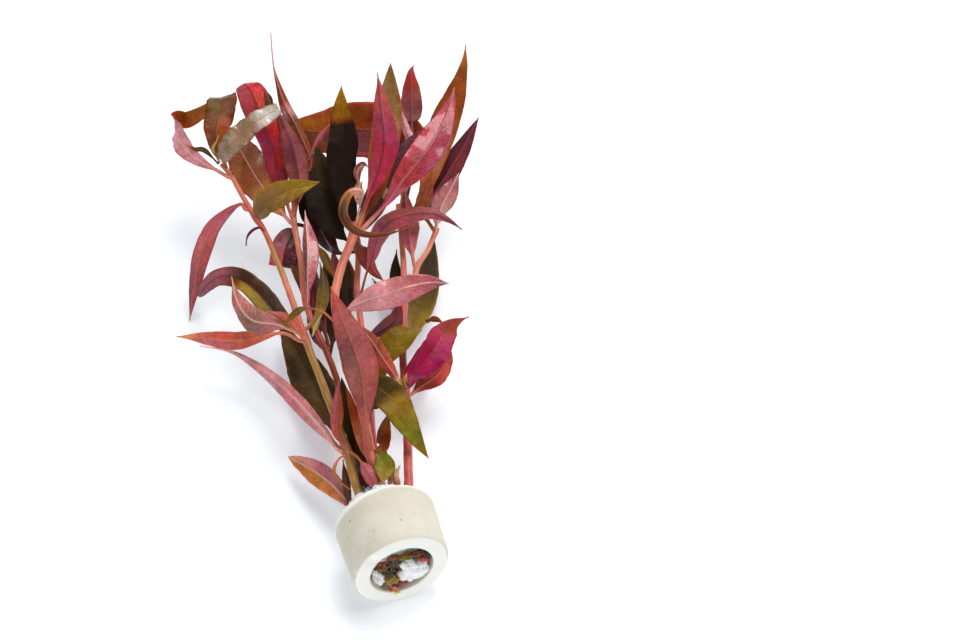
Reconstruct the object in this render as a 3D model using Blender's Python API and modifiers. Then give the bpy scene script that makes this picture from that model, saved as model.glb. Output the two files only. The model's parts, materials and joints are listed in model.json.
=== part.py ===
"""Potted scarlet temple: cut stems of a red aquarium plant, held by wool in a ceramic ring pot, lying on its side.

The pot's bottom face looks along -Y, near enough. Every place below is in millimetres from the point of
the floor under the middle of that face: +X to the right, +Y towards the tips of the leaves, +Z up. At the
end the whole bunch is moved so that the middle of its bounding box stands over the origin.
"""

import math

import bmesh
import bpy
import numpy as np
from mathutils import Vector

MM = 0.001

# Driving dimensions, in millimetres.
POT_DIAMETER = 30.0
POT_HOLE = 19.2
POT_LENGTH = 20.0
POT_OUTER_ROUND = 1.6
POT_INNER_ROUND = 0.5
POT_SIDES = 36
# The pot is a little wider at its top, where the plant comes out.
POT_FLARE = 0.7
# Its bottom face is this far off square: the right side of the pot is the shorter one.
POT_CUT = math.radians(2.2)
# Its axis is turned this far from +Y towards -X.
POT_TURN = math.radians(1.8)

WOOL_RECESS = 4.5
WOOL_PROUD = 2.2
WOOL_SIDES = 24

LEAF_THICKNESS = 0.8
LEAF_FOLD = math.radians(12)
PETIOLE_WIDTH = 1.3
TIP_WIDTH = 0.5
TOUCH_GAP = 0.3
FOOT_GAP = 0.5
# Distance between the rings of vertices along a stem.
STEM_STEP = 8.5

# Height of the axis over the floor at the bottom face: the pot lies on one of its flat facets, and its
# axis climbs towards the wider end.
POT_AXIS_HEIGHT = (POT_DIAMETER - POT_FLARE) / 2 * math.cos(math.pi / POT_SIDES)

# Faces of a leaf: scarlet temple is pink underneath and olive to orange on top.
UNDER, UPPER = -1, 1

# Directions in which the shown side of a leaf may look.
FRONT = (-2, -7, 7)
LEFTISH = (-5, -6, 6)
RIGHTISH = (2, -6, 6)
LOW = (-1, -7, 3)
HIGH = (-1, -3, 7)
SIDE_RIGHT = (6, -5, 5)
SIDE_LEFT = (-7, -4, 5)
SKY = (0, 0, 8)
BACK = (2, 6, 3)

# Stems: name -> (route through the middle of the stem, radius at the foot, radius at the tip).
STEMS = {
    "stem_a": (
        [(-3.7, 1.5, 9.5), (-5, 8, 13), (-5.4, 13, 15.5), (-5.4, 21, 18), (-6.3, 32, 19), (-6, 44, 19.5),
         (-7, 61, 22), (-9, 88, 25), (-10, 109, 27), (-12, 132, 29), (-14, 140, 30), (-16, 149, 31),
         (-18, 159, 32), (-20, 164, 33)],
        1.5, 0.8,
    ),
    "stem_b": (
        [(-1, 3, 12.8), (-0.8, 8, 12.3), (-2, 13, 11.5), (-4.5, 21, 11), (-4, 35, 12), (-3, 52, 14),
         (-2, 76, 16), (-3, 89, 18), (-5, 105, 21), (-3, 122, 24), (-2, 135, 27), (0, 146, 28),
         (1.5, 156, 31)],
        1.3, 0.8,
    ),
    "stem_c": (
        [(3.1, 3, 16.5), (0.5, 12, 18.5), (-1, 21, 20.5), (0, 30, 22.5), (0, 38, 24), (1, 53, 28),
         (1, 80, 33), (2, 92, 35), (6, 102, 37), (11, 110, 39), (15, 117, 41)],
        1.5, 1.3,
    ),
    "stem_d": (
        [(-0.2, 2, 7.8), (1.2, 12, 9.5), (2, 21, 11), (3, 46, 12), (6, 66, 14), (10, 92, 18),
         (12, 107, 21), (16, 122, 24), (18, 138, 28)],
        1.3, 0.9,
    ),
    "stem_e": (
        [(7, 2.6, 12.8), (7, 12, 14), (7.3, 21, 15.5), (10, 32, 16), (13, 45, 17), (17, 64, 19),
         (20, 79, 20), (24, 93, 22), (28, 109, 23), (31, 124, 24.5), (33, 136, 27)],
        1.5, 0.9,
    ),
    "side_shoot": (
        [(28.7, 98, 23.5), (32, 108, 25), (37, 113, 27), (42, 120, 29)],
        0.8, 0.7,
    ),
}

# Places along Y of the nodes of each stem, where leaves grow and the stem is thicker.
NODES = {
    "stem_a": (44, 88, 140),
    "stem_b": (24, 105, 135, 152),
    "stem_c": (38, 84, 115),
    "stem_d": (64, 104, 124),
    "stem_e": (64, 81, 97, 130),
    "side_shoot": (108, 119),
}
NODE_SWELLING = 0.25
NODE_REACH = 3.0

# Leaves: name, stem, place of the node along Y, points from the foot to the tip, greatest width, shown
# side, direction in which that side looks near the foot, and the same near the tip.
LEAVES = (
    ("leaf_pot_left", "stem_b", 24, [(-10, 31, 12), (-13, 41, 12), (-17, 51, 9.5), (-22, 58, 6)],
     8, UNDER, FRONT, FRONT),
    ("leaf_a1_long", "stem_a", 44, [(-13, 55, 21), (-17, 67, 20), (-22, 80, 19), (-30, 91, 17), (-40, 101, 15)],
     6.5, UNDER, (-4, -3, 7), (-1, -4, 8)),
    ("leaf_a1_narrow", "stem_a", 45, [(-5, 53, 25), (-3, 65, 28)], 4.5, UNDER, RIGHTISH, FRONT),
    ("leaf_a1_drooping", "stem_a", 43, [(-4, 33, 26), (-1, 25, 26)], 5, UNDER, (-3, -2, 7), (-2, -2, 7)),
    ("leaf_a1_olive", "stem_a", 47, [(-9, 71, 10), (-11, 90, 8), (-14, 112, 8)], 9, UPPER, RIGHTISH, FRONT),
    ("leaf_a2_orange", "stem_a", 87, [(-15, 91, 24), (-24, 93, 23), (-33, 96, 21), (-47, 107, 16)],
     6, UNDER, (-1, -7, 5), (-1, -6, 7)),
    ("leaf_a2_curl", "stem_a", 89, [(-17, 91, 30), (-24, 95, 30), (-27, 103, 31), (-27, 110, 34)],
     6, UNDER, (-1, -6, 7), (-6, -3, 6)),
    ("leaf_a2_small", "stem_a", 87, [(-13.5, 91, 32), (-19.5, 94, 34)], 3, UNDER, FRONT, FRONT),
    ("leaf_a2_arch", "stem_a", 90,
     [(-13, 102, 21), (-18, 111, 22), (-22, 118, 23), (-26.5, 126, 22), (-30.5, 131, 18), (-33, 135, 10),
      (-34.5, 139, 0.5)],
     7, UPPER, (3, -6, 6), (7, -6, 4)),
    ("leaf_a2_back", "stem_a", 91, [(-2, 99, 24), (2, 111, 23), (3, 121, 23)], 4, UPPER, RIGHTISH, FRONT),
    ("leaf_a3_arc", "stem_a", 141,
     [(-18, 147, 28), (-23, 147, 26), (-30, 142, 22), (-35.5, 136, 13), (-40.5, 127, 0.5)],
     7, UNDER, (-3, -6, 6), (-7, -3, 4)),
    ("leaf_a3_tan", "stem_a", 139, [(-10, 139, 37), (-3, 139, 40), (8, 139, 41)], 8, UPPER, HIGH, FRONT),
    ("leaf_a4_bent", "stem_a", 155,
     [(-26, 164, 34), (-31, 173, 32), (-33, 182, 33), (-31, 188, 35), (-26, 189, 37), (-20, 188, 38)],
     7.5, UNDER, (-1, -7, 7), (-3, 7, -6)),
    ("leaf_a4_hanging", "stem_a", 162,
     [(-19, 168, 37), (-18, 174, 40), (-16.5, 180, 43), (-15, 185, 44), (-14, 187, 41)],
     10, UPPER, FRONT, (0, 7, 4)),
    ("leaf_a4_wet", "stem_a", 163,
     [(-17, 161, 40), (-13, 162, 45), (-8.5, 165, 49), (-4, 166, 51), (2, 168.5, 50)],
     8.5, UPPER, HIGH, FRONT),
    ("leaf_b1_pink", "stem_b", 105, [(-1, 113, 28), (2, 122, 32), (3, 134, 36)], 6.5, UNDER, LEFTISH, FRONT),
    ("leaf_b1_under", "stem_b", 106, [(-1, 113, 13), (5, 124, 5), (6, 136, 1)], 7, UPPER, SIDE_LEFT, SKY),
    ("leaf_b2_torn", "stem_b", 134, [(-6, 133, 19), (-10, 129, 16)], 8, UNDER, FRONT, FRONT),
    ("leaf_b2_broad", "stem_b", 136,
     [(-7, 148, 25), (-8, 157, 27), (-10, 166, 28), (-11.5, 173.5, 29), (-13, 179.5, 31)],
     13, UPPER, FRONT, LEFTISH),
    ("leaf_b2_crimson", "stem_b", 138,
     [(-3, 149, 34), (-4, 160, 39), (-4.5, 166, 43), (-5.5, 172, 48), (-6.5, 178, 51.5), (-8, 183, 50)],
     10, UNDER, LEFTISH, (0, 2, 8)),
    ("leaf_b2_mauve", "stem_b", 139, [(3, 145, 36), (3.5, 157, 42), (0.5, 172, 47)],
     7.5, UNDER, RIGHTISH, FRONT),
    ("leaf_b3_spike", "stem_b", 152,
     [(7, 157, 31), (8, 163, 35), (6.5, 169, 39), (4.5, 175, 43), (3.5, 180, 48), (3.5, 186, 53), (5, 195, 60)],
     4.5, UNDER, SIDE_RIGHT, LEFTISH),
    ("leaf_c1_great", "stem_c", 38, [(1, 43, 32), (1, 56, 41), (0, 71, 47), (1, 84, 49)],
     11.5, UNDER, FRONT, FRONT),
    ("leaf_c1_green", "stem_c", 38, [(4, 33, 26), (3, 26, 25)], 5.5, UPPER, FRONT, FRONT),
    ("leaf_c1_brown", "stem_c", 39, [(5, 43, 20), (10, 57, 18)], 4.5, UPPER, RIGHTISH, FRONT),
    ("leaf_c2_thin", "stem_c", 83, [(-4, 88, 39), (-9, 90, 39), (-13, 89, 38), (-16.5, 87.5, 35)],
     3, UPPER, FRONT, FRONT),
    ("leaf_c2_pale", "stem_c", 85, [(6, 83, 40), (18, 82, 44), (29, 82, 45), (36, 82, 43)],
     9.5, UNDER, HIGH, FRONT),
    ("leaf_c3_upright", "stem_c", 115, [(20, 121, 49), (26, 129, 55), (30, 141, 61), (32, 155, 68)],
     9.5, UNDER, FRONT, LEFTISH),
    ("leaf_c3_behind", "stem_c", 116, [(23, 128, 41), (28, 138, 46), (34, 151, 53), (39, 167, 61)],
     9.5, UPPER, RIGHTISH, FRONT),
    ("leaf_c3_glossy", "stem_c", 114, [(27, 117, 46), (38, 125, 52), (48, 137, 57), (56, 149, 62)],
     11.5, UNDER, RIGHTISH, FRONT),
    ("leaf_c3_hook", "stem_c", 112,
     [(16, 120, 52), (11, 118, 52), (10, 113, 50), (12, 107, 48), (20, 104, 47), (32, 106, 47)],
     3, UNDER, FRONT, FRONT),
    ("leaf_d1_ribbon", "stem_d", 67, [(10, 73, 24), (16, 75, 28), (22, 77, 30), (24, 83, 28), (22, 88, 25)],
     7, UPPER, FRONT, BACK),
    ("leaf_d1_folded", "stem_d", 62, [(8, 54, 28), (11, 48, 31), (14, 42, 27), (17, 36, 18)],
     9, UPPER, SKY, (1, -7, 4)),
    ("leaf_d2_arch", "stem_d", 104,
     [(18, 111, 28), (23, 117, 33), (30, 118, 37), (39, 115, 38), (48, 110, 36)],
     7, UNDER, SIDE_RIGHT, (1, -5, 8)),
    ("leaf_d2_under", "stem_d", 103, [(9, 112, 14), (11.5, 124, 6), (14, 136, 1)], 7, UPPER, RIGHTISH, SKY),
    ("leaf_d3_dark", "stem_d", 124, [(13, 138, 25), (12, 155, 28), (14, 169, 32)], 8.5, UPPER, LEFTISH, FRONT),
    ("leaf_d3_black", "stem_d", 125,
     [(16, 133, 32), (16, 141, 37), (17, 147, 42), (19, 152, 46), (20, 159, 51), (22, 167, 56)],
     10, UPPER, FRONT, LOW),
    ("leaf_e1_magenta", "stem_e", 64, [(21, 69, 22), (28, 74, 24), (35, 81, 24), (44, 85, 22)],
     9, UPPER, HIGH, FRONT),
    ("leaf_e1_red", "stem_e", 62, [(24, 66, 15), (29, 69, 15), (32, 75, 16), (34, 81, 16)],
     5.5, UNDER, FRONT, FRONT),
    ("leaf_e1_narrow", "stem_e", 64, [(12, 68, 29), (9, 73, 34), (6, 78, 37)], 3, UNDER, FRONT, FRONT),
    ("leaf_e1_under", "stem_e", 65, [(23, 77, 8), (30, 89, 1), (37, 98, 0.5)], 7, UPPER, HIGH, SKY),
    ("leaf_e2_olive", "stem_e", 81, [(27, 94, 12), (37, 115, 6), (48, 145, 0.5)], 9, UPPER, RIGHTISH, SKY),
    ("leaf_e3_maroon", "stem_e", 97, [(20, 89, 24), (10, 83, 25)], 5, UNDER, FRONT, FRONT),
    ("leaf_e3_under", "stem_e", 98, [(26, 106, 10), (24, 118, 3), (22, 131, 0.5)], 7, UPPER, HIGH, SKY),
    ("leaf_e4_red", "stem_e", 135,
     [(42, 149, 34), (44.5, 162, 38.5), (46, 172, 43), (48, 177, 46), (50, 180, 47)],
     8, UNDER, FRONT, LOW),
    ("leaf_e4_narrow", "stem_e", 134, [(38, 147, 38), (42, 158, 40), (42, 166, 43), (42, 171, 46)],
     3, UNDER, FRONT, FRONT),
    ("leaf_e4_tall", "stem_e", 128,
     [(42, 137, 30), (49, 150, 34), (55, 158, 40), (60, 163, 47), (64, 168, 54), (66, 173, 58)],
     10, UPPER, FRONT, RIGHTISH),
    ("leaf_e4_purple", "stem_e", 127, [(45, 139, 25), (57, 151, 29), (68, 164, 33)], 7.5, UNDER, FRONT, FRONT),
    ("leaf_e4_wide", "stem_e", 131,
     [(39, 151, 23), (43.5, 160, 28.5), (37.5, 165, 31.5), (27.5, 170, 32.5), (17.5, 173, 33), (6.5, 174, 34)],
     19, UPPER, FRONT, FRONT),
    ("leaf_s1_pink", "side_shoot", 108, [(32, 118, 31), (33, 129, 34), (33, 138, 37)],
     5, UNDER, LEFTISH, FRONT),
    ("leaf_s2_pink", "side_shoot", 119, [(44, 123, 35), (48, 126, 39), (52, 130, 42)],
     7, UNDER, RIGHTISH, FRONT),
    ("leaf_s2_brown", "side_shoot", 119, [(39, 127, 32), (42.5, 134, 34), (46, 140, 37)],
     4.5, UPPER, FRONT, FRONT),
)

# Leaves that aren't shaped like the rest: how much of the length is petiole, and how blunt the outer half
# is, from 0 for a drawn-out tip to 1 for a straight end.
USUAL_SHAPE = (0.08, 0.0)
SHAPES = {
    "leaf_a4_hanging": (0.08, 0.9),
    "leaf_a4_wet": (0.08, 0.6),
    "leaf_b2_torn": (0.0, 1.0),
    "leaf_b2_crimson": (0.08, 0.8),
    "leaf_d1_ribbon": (0.08, 0.6),
    "leaf_d3_black": (0.0, 0.0),
    "leaf_e4_wide": (0.32, 0.35),
}

# Base colours (linear) and roughness of the materials.
CERAMIC = ((0.72, 0.67, 0.56), 0.6)
WOOL = ((0.78, 0.80, 0.80), 0.95)
STEM = ((0.55, 0.16, 0.08), 0.4)
LEAF_UNDER = ((0.38, 0.10, 0.12), 0.35)
LEAF_UPPER = ((0.12, 0.07, 0.02), 0.35)


def unit(vectors):
    return vectors / np.linalg.norm(vectors, axis=-1, keepdims=True)


def smooth_path(points, count):
    """The given points joined by a Catmull-Rom curve and read at evenly spaced places along it."""
    p = np.asarray(points, float)
    padded = np.vstack([2 * p[0] - p[1], p, 2 * p[-1] - p[-2]])
    span = np.arange(len(p) - 1)
    t = np.linspace(0, 1, 24, endpoint=False)[None, :, None]
    a, b, c, d = (padded[span + k][:, None, :] for k in range(4))
    dense = 0.5 * (2 * b + (c - a) * t + (2 * a - 5 * b + 4 * c - d) * t**2 + (3 * b - a - 3 * c + d) * t**3)
    dense = np.vstack([dense.reshape(-1, 3), p[-1:]])
    along = np.concatenate([[0], np.cumsum(np.linalg.norm(np.diff(dense, axis=0), axis=1))])
    at = np.linspace(0, along[-1], count)
    return np.stack([np.interp(at, along, dense[:, k]) for k in range(3)], axis=1)


def stem_radius(name, route):
    """The radius along a stem: tapered from foot to tip, and thicker at each node."""
    _, foot, tip = STEMS[name]
    radius = np.linspace(foot, tip, len(route))
    for node in NODES[name]:
        radius = radius * (1 + NODE_SWELLING * np.exp(-(((route[:, 1] - node) / NODE_REACH) ** 2)))
    return radius


def stem_at(name, y):
    """The middle of a stem, its direction and its radius at a place along Y."""
    route = smooth_path(STEMS[name][0], 200)
    k = int(np.argmin(abs(route[:, 1] - y)))
    k = min(max(k, 1), len(route) - 2)
    return route[k], unit(route[k + 1] - route[k - 1]), stem_radius(name, route)[k]


def leaf_path(stem, node, points, count):
    """A leaf's midrib: square off the stem at its foot, then through the leaf's own points to the tip."""
    middle, along, radius = stem_at(stem, node)
    towards = np.asarray(points[0], float) - middle
    outward = unit(towards - towards.dot(along) * along)
    foot = middle + outward * (radius + FOOT_GAP)
    knee = foot + outward * 1.2 + unit(towards) * 0.8
    return smooth_path([foot, knee, *points], count)


def blade_half_width(t, width, shape):
    """Half the width along a lance-shaped leaf: a narrow petiole, widest in the middle, a drawn-out tip."""
    petiole, blunt = shape
    along = np.clip((t - petiole) / (1 - petiole), 0, 1) ** 0.88
    blade = np.sin(np.pi * along) ** 1.25
    blade = np.where(along > 0.5, blunt + (1 - blunt) * blade, blade) * width / 2
    stalk = PETIOLE_WIDTH / 2 + (TIP_WIDTH - PETIOLE_WIDTH) / 2 * t
    return np.maximum(blade, stalk)


def collection(name, helpers=False):
    made = bpy.data.collections.new(name)
    bpy.context.scene.collection.children.link(made)
    made.hide_render = helpers
    return made


def material(name, look):
    colour, roughness = look
    made = bpy.data.materials.new(name)
    made.use_nodes = True
    shader = made.node_tree.nodes["Principled BSDF"]
    shader.inputs["Base Color"].default_value = (*colour, 1)
    shader.inputs["Roughness"].default_value = roughness
    shader.inputs["Metallic"].default_value = 0
    return made


def add_object(name, data, group, look=None):
    made = bpy.data.objects.new(name, data)
    group.objects.link(made)
    made.parent = BUNCH
    if look is not None:
        data.materials.append(material(name, look))
    return made


def mesh_of(made):
    """The mesh that an object's modifiers make, with its loose caps welded, as a mesh of its own."""
    bpy.context.view_layer.update()
    graph = bpy.context.evaluated_depsgraph_get()
    mesh = bpy.data.meshes.new_from_object(made.evaluated_get(graph))
    welded = bmesh.new()
    welded.from_mesh(mesh)
    bmesh.ops.remove_doubles(welded, verts=welded.verts, dist=0.00001)
    bmesh.ops.recalc_face_normals(welded, faces=welded.faces)
    welded.to_mesh(mesh)
    welded.free()
    bpy.data.objects.remove(made)
    return mesh


def turned(name, profile, sides, group):
    """A profile of (radius, place along Y) turned about the pot's axis, with a flat facet underneath."""
    mesh = bpy.data.meshes.new(name)
    turn = 3 * math.pi / 2 + math.pi / sides
    rows = [(r * MM * math.cos(turn), y * MM, r * MM * math.sin(turn)) for r, y in profile]
    joins = [(k, (k + 1) % len(rows)) for k in range(len(rows))]
    ends_on_axis = profile[0][0] == 0
    mesh.from_pydata(rows, joins[:-1] if ends_on_axis else joins, [])
    made = add_object(name, mesh, group)
    screw = made.modifiers.new("turn", "SCREW")
    screw.axis = "Y"
    screw.steps = screw.render_steps = sides
    screw.use_merge_vertices = True
    screw.merge_threshold = 0.00001
    turned_mesh = mesh_of(made)
    turned_mesh.shade_smooth()
    turned_mesh.set_sharp_from_angle(angle=math.radians(40))
    return turned_mesh


def rounded_corner(r, y, size, start, steps=2):
    """The points of a quarter round in a profile: its middle is at (r, y), and start is its first angle."""
    angles = [start + math.pi / 2 * k / steps for k in range(steps + 1)]
    return [(r + size * math.cos(a), y + size * math.sin(a)) for a in angles]


def lay_down(made):
    """Puts a turned piece where the pot lies: its slanted cut and climbing axis by shears, then its turn."""
    length = POT_LENGTH * MM
    for vertex in made.data.vertices:
        x, y, _ = vertex.co
        vertex.co.y += x * math.tan(POT_CUT) * (1 - y / length)
        vertex.co.z += y / length * POT_FLARE * MM
    made.location = (0, 0, POT_AXIS_HEIGHT * MM)
    made.rotation_euler = (0, 0, POT_TURN)


def make_pot(group):
    """A short tube with rounded rims, wider at its top."""
    outer, hole = (POT_DIAMETER - POT_FLARE) / 2, POT_HOLE / 2
    big, small, top = POT_OUTER_ROUND, POT_INNER_ROUND, POT_LENGTH
    profile = (
        rounded_corner(outer + POT_FLARE - big, top - big, big, 0)
        + rounded_corner(hole + small, top - small, small, math.pi / 2)
        + rounded_corner(hole + small, small, small, math.pi)
        + rounded_corner(outer - big, big, big, 3 * math.pi / 2)
    )
    lay_down(add_object("ring_pot", turned("ring_pot", profile, POT_SIDES, group), group, CERAMIC))


def make_wool(group, helpers):
    """The wool fills the hole, stands back from the bottom face and swells over the top rim."""
    inner = POT_HOLE / 2 - TOUCH_GAP
    top = POT_LENGTH
    profile = [
        (0, WOOL_RECESS - 0.8), (inner * 0.6, WOOL_RECESS - 0.4), (inner, WOOL_RECESS + 0.8),
        (inner, top - 0.3), (inner + 1.2, top + 0.45), (inner + 0.9, top + 1.4),
        (inner * 0.6, top + WOOL_PROUD), (0, top + WOOL_PROUD + 0.3),
    ]
    wool = add_object("wool_plug", turned("wool_plug", profile, WOOL_SIDES, group), group, WOOL)
    lay_down(wool)
    for name in STEMS:
        if STEMS[name][0][0][1] > POT_LENGTH:
            continue
        cut = wool.modifiers.new(name, "BOOLEAN")
        cut.operation = "DIFFERENCE"
        cut.object = make_channel(name, helpers)


def stem_curve(name, label, path, radius, group):
    """A tube of varying radius along a path."""
    curve = bpy.data.curves.new(label, "CURVE")
    curve.dimensions = "3D"
    curve.bevel_depth = MM
    curve.bevel_resolution = 2
    curve.use_fill_caps = True
    spline = curve.splines.new("POLY")
    spline.points.add(len(path) - 1)
    for point, place, size in zip(spline.points, path, radius):
        point.co = (*(place * MM), 1)
        point.radius = size
    return add_object(label, curve, group)


def stem_path(name):
    """The places along a stem where its tube has a ring of vertices, and the radius at each."""
    route = np.asarray(STEMS[name][0], float)
    length = np.linalg.norm(np.diff(route, axis=0), axis=1).sum()
    path = smooth_path(route, max(5, round(length / STEM_STEP)))
    return path, stem_radius(name, path)


def make_stem(name, group):
    path, radius = stem_path(name)
    stem = stem_curve(name, name, path, radius, group)
    stem.data.materials.append(material(name, STEM))


def make_channel(name, group):
    """The hole that a stem fills in the wool: the stem's own foot, wider by the touching gap."""
    path, radius = stem_path(name)
    inside = path[:, 1] < POT_LENGTH + 2 * STEM_STEP
    path = np.vstack([2 * path[0] - path[1], path[inside]])
    radius = np.concatenate([radius[:1], radius[inside]]) + TOUCH_GAP
    label = name + "_channel"
    channel = add_object(label, mesh_of(stem_curve(name, label, path, radius, group)), group)
    channel.display_type = "WIRE"
    channel.hide_render = True
    return channel


def make_leaf(row, group):
    """A leaf as an open blade on its midrib, folded a little along it, given its thickness by Solidify."""
    name, stem, node, points, width, side, near_foot, near_tip = row
    rows = 8 if len(points) < 5 else 11
    path = leaf_path(stem, node, points, rows + 1)
    t = np.linspace(0, 1, rows + 1)
    tangent = unit(np.gradient(path, axis=0))
    foot_facing, tip_facing = unit(np.array([near_foot, near_tip], float))
    facing = side * (np.outer(1 - t, foot_facing) + np.outer(t, tip_facing))
    normal = unit(facing - (facing * tangent).sum(axis=1, keepdims=True) * tangent)
    across = np.cross(normal, tangent)
    half = blade_half_width(t, width, SHAPES.get(name, USUAL_SHAPE))
    blade = bmesh.new()
    bmesh.ops.create_grid(blade, x_segments=rows, y_segments=2, size=0.5)
    for vertex in blade.verts:
        k = round((vertex.co.x + 0.5) * rows)
        v = vertex.co.y * 2
        place = path[k] + half[k] * (
            v * math.cos(LEAF_FOLD) * across[k] + abs(v) * math.sin(LEAF_FOLD) * normal[k]
        )
        # A leaf that reaches the floor lies along it.
        place[2] = max(place[2], LEAF_THICKNESS / 2)
        vertex.co = Vector(place * MM)
    mesh = bpy.data.meshes.new(name)
    blade.to_mesh(mesh)
    blade.free()
    leaf = add_object(name, mesh, group, LEAF_UNDER if side == UNDER else LEAF_UPPER)
    shell = leaf.modifiers.new("thickness", "SOLIDIFY")
    shell.thickness = LEAF_THICKNESS * MM
    shell.offset = 0


def box_of(part, graph):
    """The lowest and highest world coordinates of a part's finished solid, as two rows."""
    solid = part.evaluated_get(graph)
    mesh = solid.to_mesh()
    places = np.empty(len(mesh.vertices) * 3, np.float32)
    mesh.vertices.foreach_get("co", places)
    world = np.array(solid.matrix_world)
    places = places.reshape(-1, 3) @ world[:3, :3].T + world[:3, 3]
    solid.to_mesh_clear()
    return np.array([places.min(axis=0), places.max(axis=0)])


for old in list(bpy.data.objects):
    bpy.data.objects.remove(old)

parts = collection("potted_scarlet_temple")
cutters = collection("cutters", helpers=True)
BUNCH = bpy.data.objects.new("bunch", None)
parts.objects.link(BUNCH)

make_pot(parts)
make_wool(parts, cutters)
for stem_name in STEMS:
    make_stem(stem_name, parts)
for leaf_row in LEAVES:
    make_leaf(leaf_row, parts)

# The middle of the bounding box goes over the origin.
bpy.context.view_layer.update()
graph = bpy.context.evaluated_depsgraph_get()
boxes = np.concatenate([box_of(part, graph) for part in parts.objects if part.type != "EMPTY"])
low, high = boxes.min(axis=0), boxes.max(axis=0)
BUNCH.location = (-(low[0] + high[0]) / 2, -(low[1] + high[1]) / 2, -low[2])
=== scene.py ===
"""Looks of the potted scarlet temple: cut stems of a red aquarium plant in a ceramic ring pot, on its side.

Every place is in millimetres from the point of the floor under the middle of the pot's bottom face, as in
the solids: +X to the right, +Y towards the tips of the leaves, +Z up. Each leaf, stem, the pot and the wool
is a fine surface that replaces its solid. Stems and pot keep the lines of their solids. The leaves were
refined after the solids were made, and some lie several millimetres off them.
"""

import json
import math

import bpy
import numpy as np
from mathutils import Matrix, Vector


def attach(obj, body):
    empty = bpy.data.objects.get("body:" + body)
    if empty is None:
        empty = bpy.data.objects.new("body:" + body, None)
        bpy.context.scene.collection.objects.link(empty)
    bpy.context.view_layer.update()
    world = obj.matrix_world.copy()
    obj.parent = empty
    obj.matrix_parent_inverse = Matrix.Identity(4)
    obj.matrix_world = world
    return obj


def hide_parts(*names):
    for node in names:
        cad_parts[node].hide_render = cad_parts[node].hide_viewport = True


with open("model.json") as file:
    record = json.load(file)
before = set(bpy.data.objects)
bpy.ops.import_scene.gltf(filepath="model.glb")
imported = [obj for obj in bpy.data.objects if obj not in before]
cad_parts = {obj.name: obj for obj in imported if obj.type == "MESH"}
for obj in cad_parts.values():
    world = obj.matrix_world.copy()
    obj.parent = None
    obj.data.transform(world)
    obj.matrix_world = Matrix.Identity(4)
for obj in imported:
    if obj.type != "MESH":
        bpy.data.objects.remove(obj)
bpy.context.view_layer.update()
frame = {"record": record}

MM = 0.001
# The middle of the pot's bottom face on the floor, which is where the record's only mount stands.
MOUNT = frame["record"]["mounts"][0]["pos_m"]
ORIGIN = np.array([MOUNT[0], MOUNT[1], 0.0]) / MM

# Pot and wool, as in the solids.
POT_DIAMETER = 30.0
POT_HOLE = 19.2
POT_LENGTH = 20.0
POT_OUTER_ROUND = 1.6
POT_INNER_ROUND = 0.5
POT_FLARE = 0.7
POT_CUT = math.radians(2.2)
POT_TURN = math.radians(1.8)
# The solid lies on one of 36 flat facets, so its axis is a little lower than its radius.
POT_FACET = math.cos(math.pi / 36)
POT_AXIS_HEIGHT = (POT_DIAMETER - POT_FLARE) / 2 * POT_FACET
WOOL_RECESS = 4.5
# The wool reaches this far out of the pot, further than its solid does.
WOOL_MANE = 4.4

LEAF_THICKNESS = 0.26
TIP_WIDTH = 0.4

# Faces of a leaf: scarlet temple is pink underneath and olive to orange on top.
UNDER, UPPER = -1, 1

# Directions in which the shown side of a leaf may look.
FRONT = (-2, -7, 7)
LEFTISH = (-5, -6, 6)
RIGHTISH = (2, -6, 6)
LOW = (-1, -7, 3)
HIGH = (-1, -3, 7)
SIDE_RIGHT = (6, -5, 5)
SIDE_LEFT = (-7, -4, 5)
SKY = (0, 0, 8)
BACK = (2, 6, 3)

# Stems: name -> (route through the middle of the stem, radius at the foot, radius at the tip).
STEMS = {
    "stem_a": (
        [(-3.7, 1.5, 9.5), (-5, 8, 13), (-5.4, 13, 15.5), (-5.4, 21, 18), (-6.3, 32, 19), (-6, 44, 19.5),
         (-7, 61, 22), (-9, 88, 25), (-10, 109, 27), (-12, 132, 29), (-14, 140, 30), (-16, 149, 31),
         (-18, 159, 32), (-20, 164, 33)],
        1.5, 0.8,
    ),
    "stem_b": (
        [(-1, 3, 12.8), (-0.8, 8, 12.3), (-2, 13, 11.5), (-4.5, 21, 11), (-4, 35, 12), (-3, 52, 14),
         (-2, 76, 16), (-3, 89, 18), (-5, 105, 21), (-3, 122, 24), (-2, 135, 27), (0, 146, 28),
         (1.5, 156, 31)],
        1.3, 0.8,
    ),
    "stem_c": (
        [(3.1, 3, 16.5), (0.5, 12, 18.5), (-1, 21, 20.5), (0, 30, 22.5), (0, 38, 24), (1, 53, 28),
         (1, 80, 33), (2, 92, 35), (6, 102, 37), (11, 110, 39), (15, 117, 41)],
        1.5, 1.3,
    ),
    "stem_d": (
        [(-0.2, 2, 7.8), (1.2, 12, 9.5), (2, 21, 11), (3, 46, 12), (6, 66, 14), (10, 92, 18),
         (12, 107, 21), (16, 122, 24), (18, 138, 28)],
        1.3, 0.9,
    ),
    "stem_e": (
        [(7, 2.6, 12.8), (7, 12, 14), (7.3, 21, 15.5), (10, 32, 16), (13, 45, 17), (17, 64, 19),
         (20, 79, 20), (24, 93, 22), (28, 109, 23), (31, 124, 24.5), (33, 136, 27)],
        1.5, 0.9,
    ),
    "side_shoot": (
        [(28.7, 98, 23.5), (32, 108, 25), (37, 113, 27), (42, 120, 29)],
        0.8, 0.7,
    ),
}
NODES = {
    "stem_a": (44, 88, 140),
    "stem_b": (24, 105, 135, 152),
    "stem_c": (38, 84, 115),
    "stem_d": (64, 104, 124),
    "stem_e": (64, 81, 97, 130),
    "side_shoot": (108, 119),
}
NODE_SWELLING = 0.25
NODE_REACH = 3.0

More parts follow.
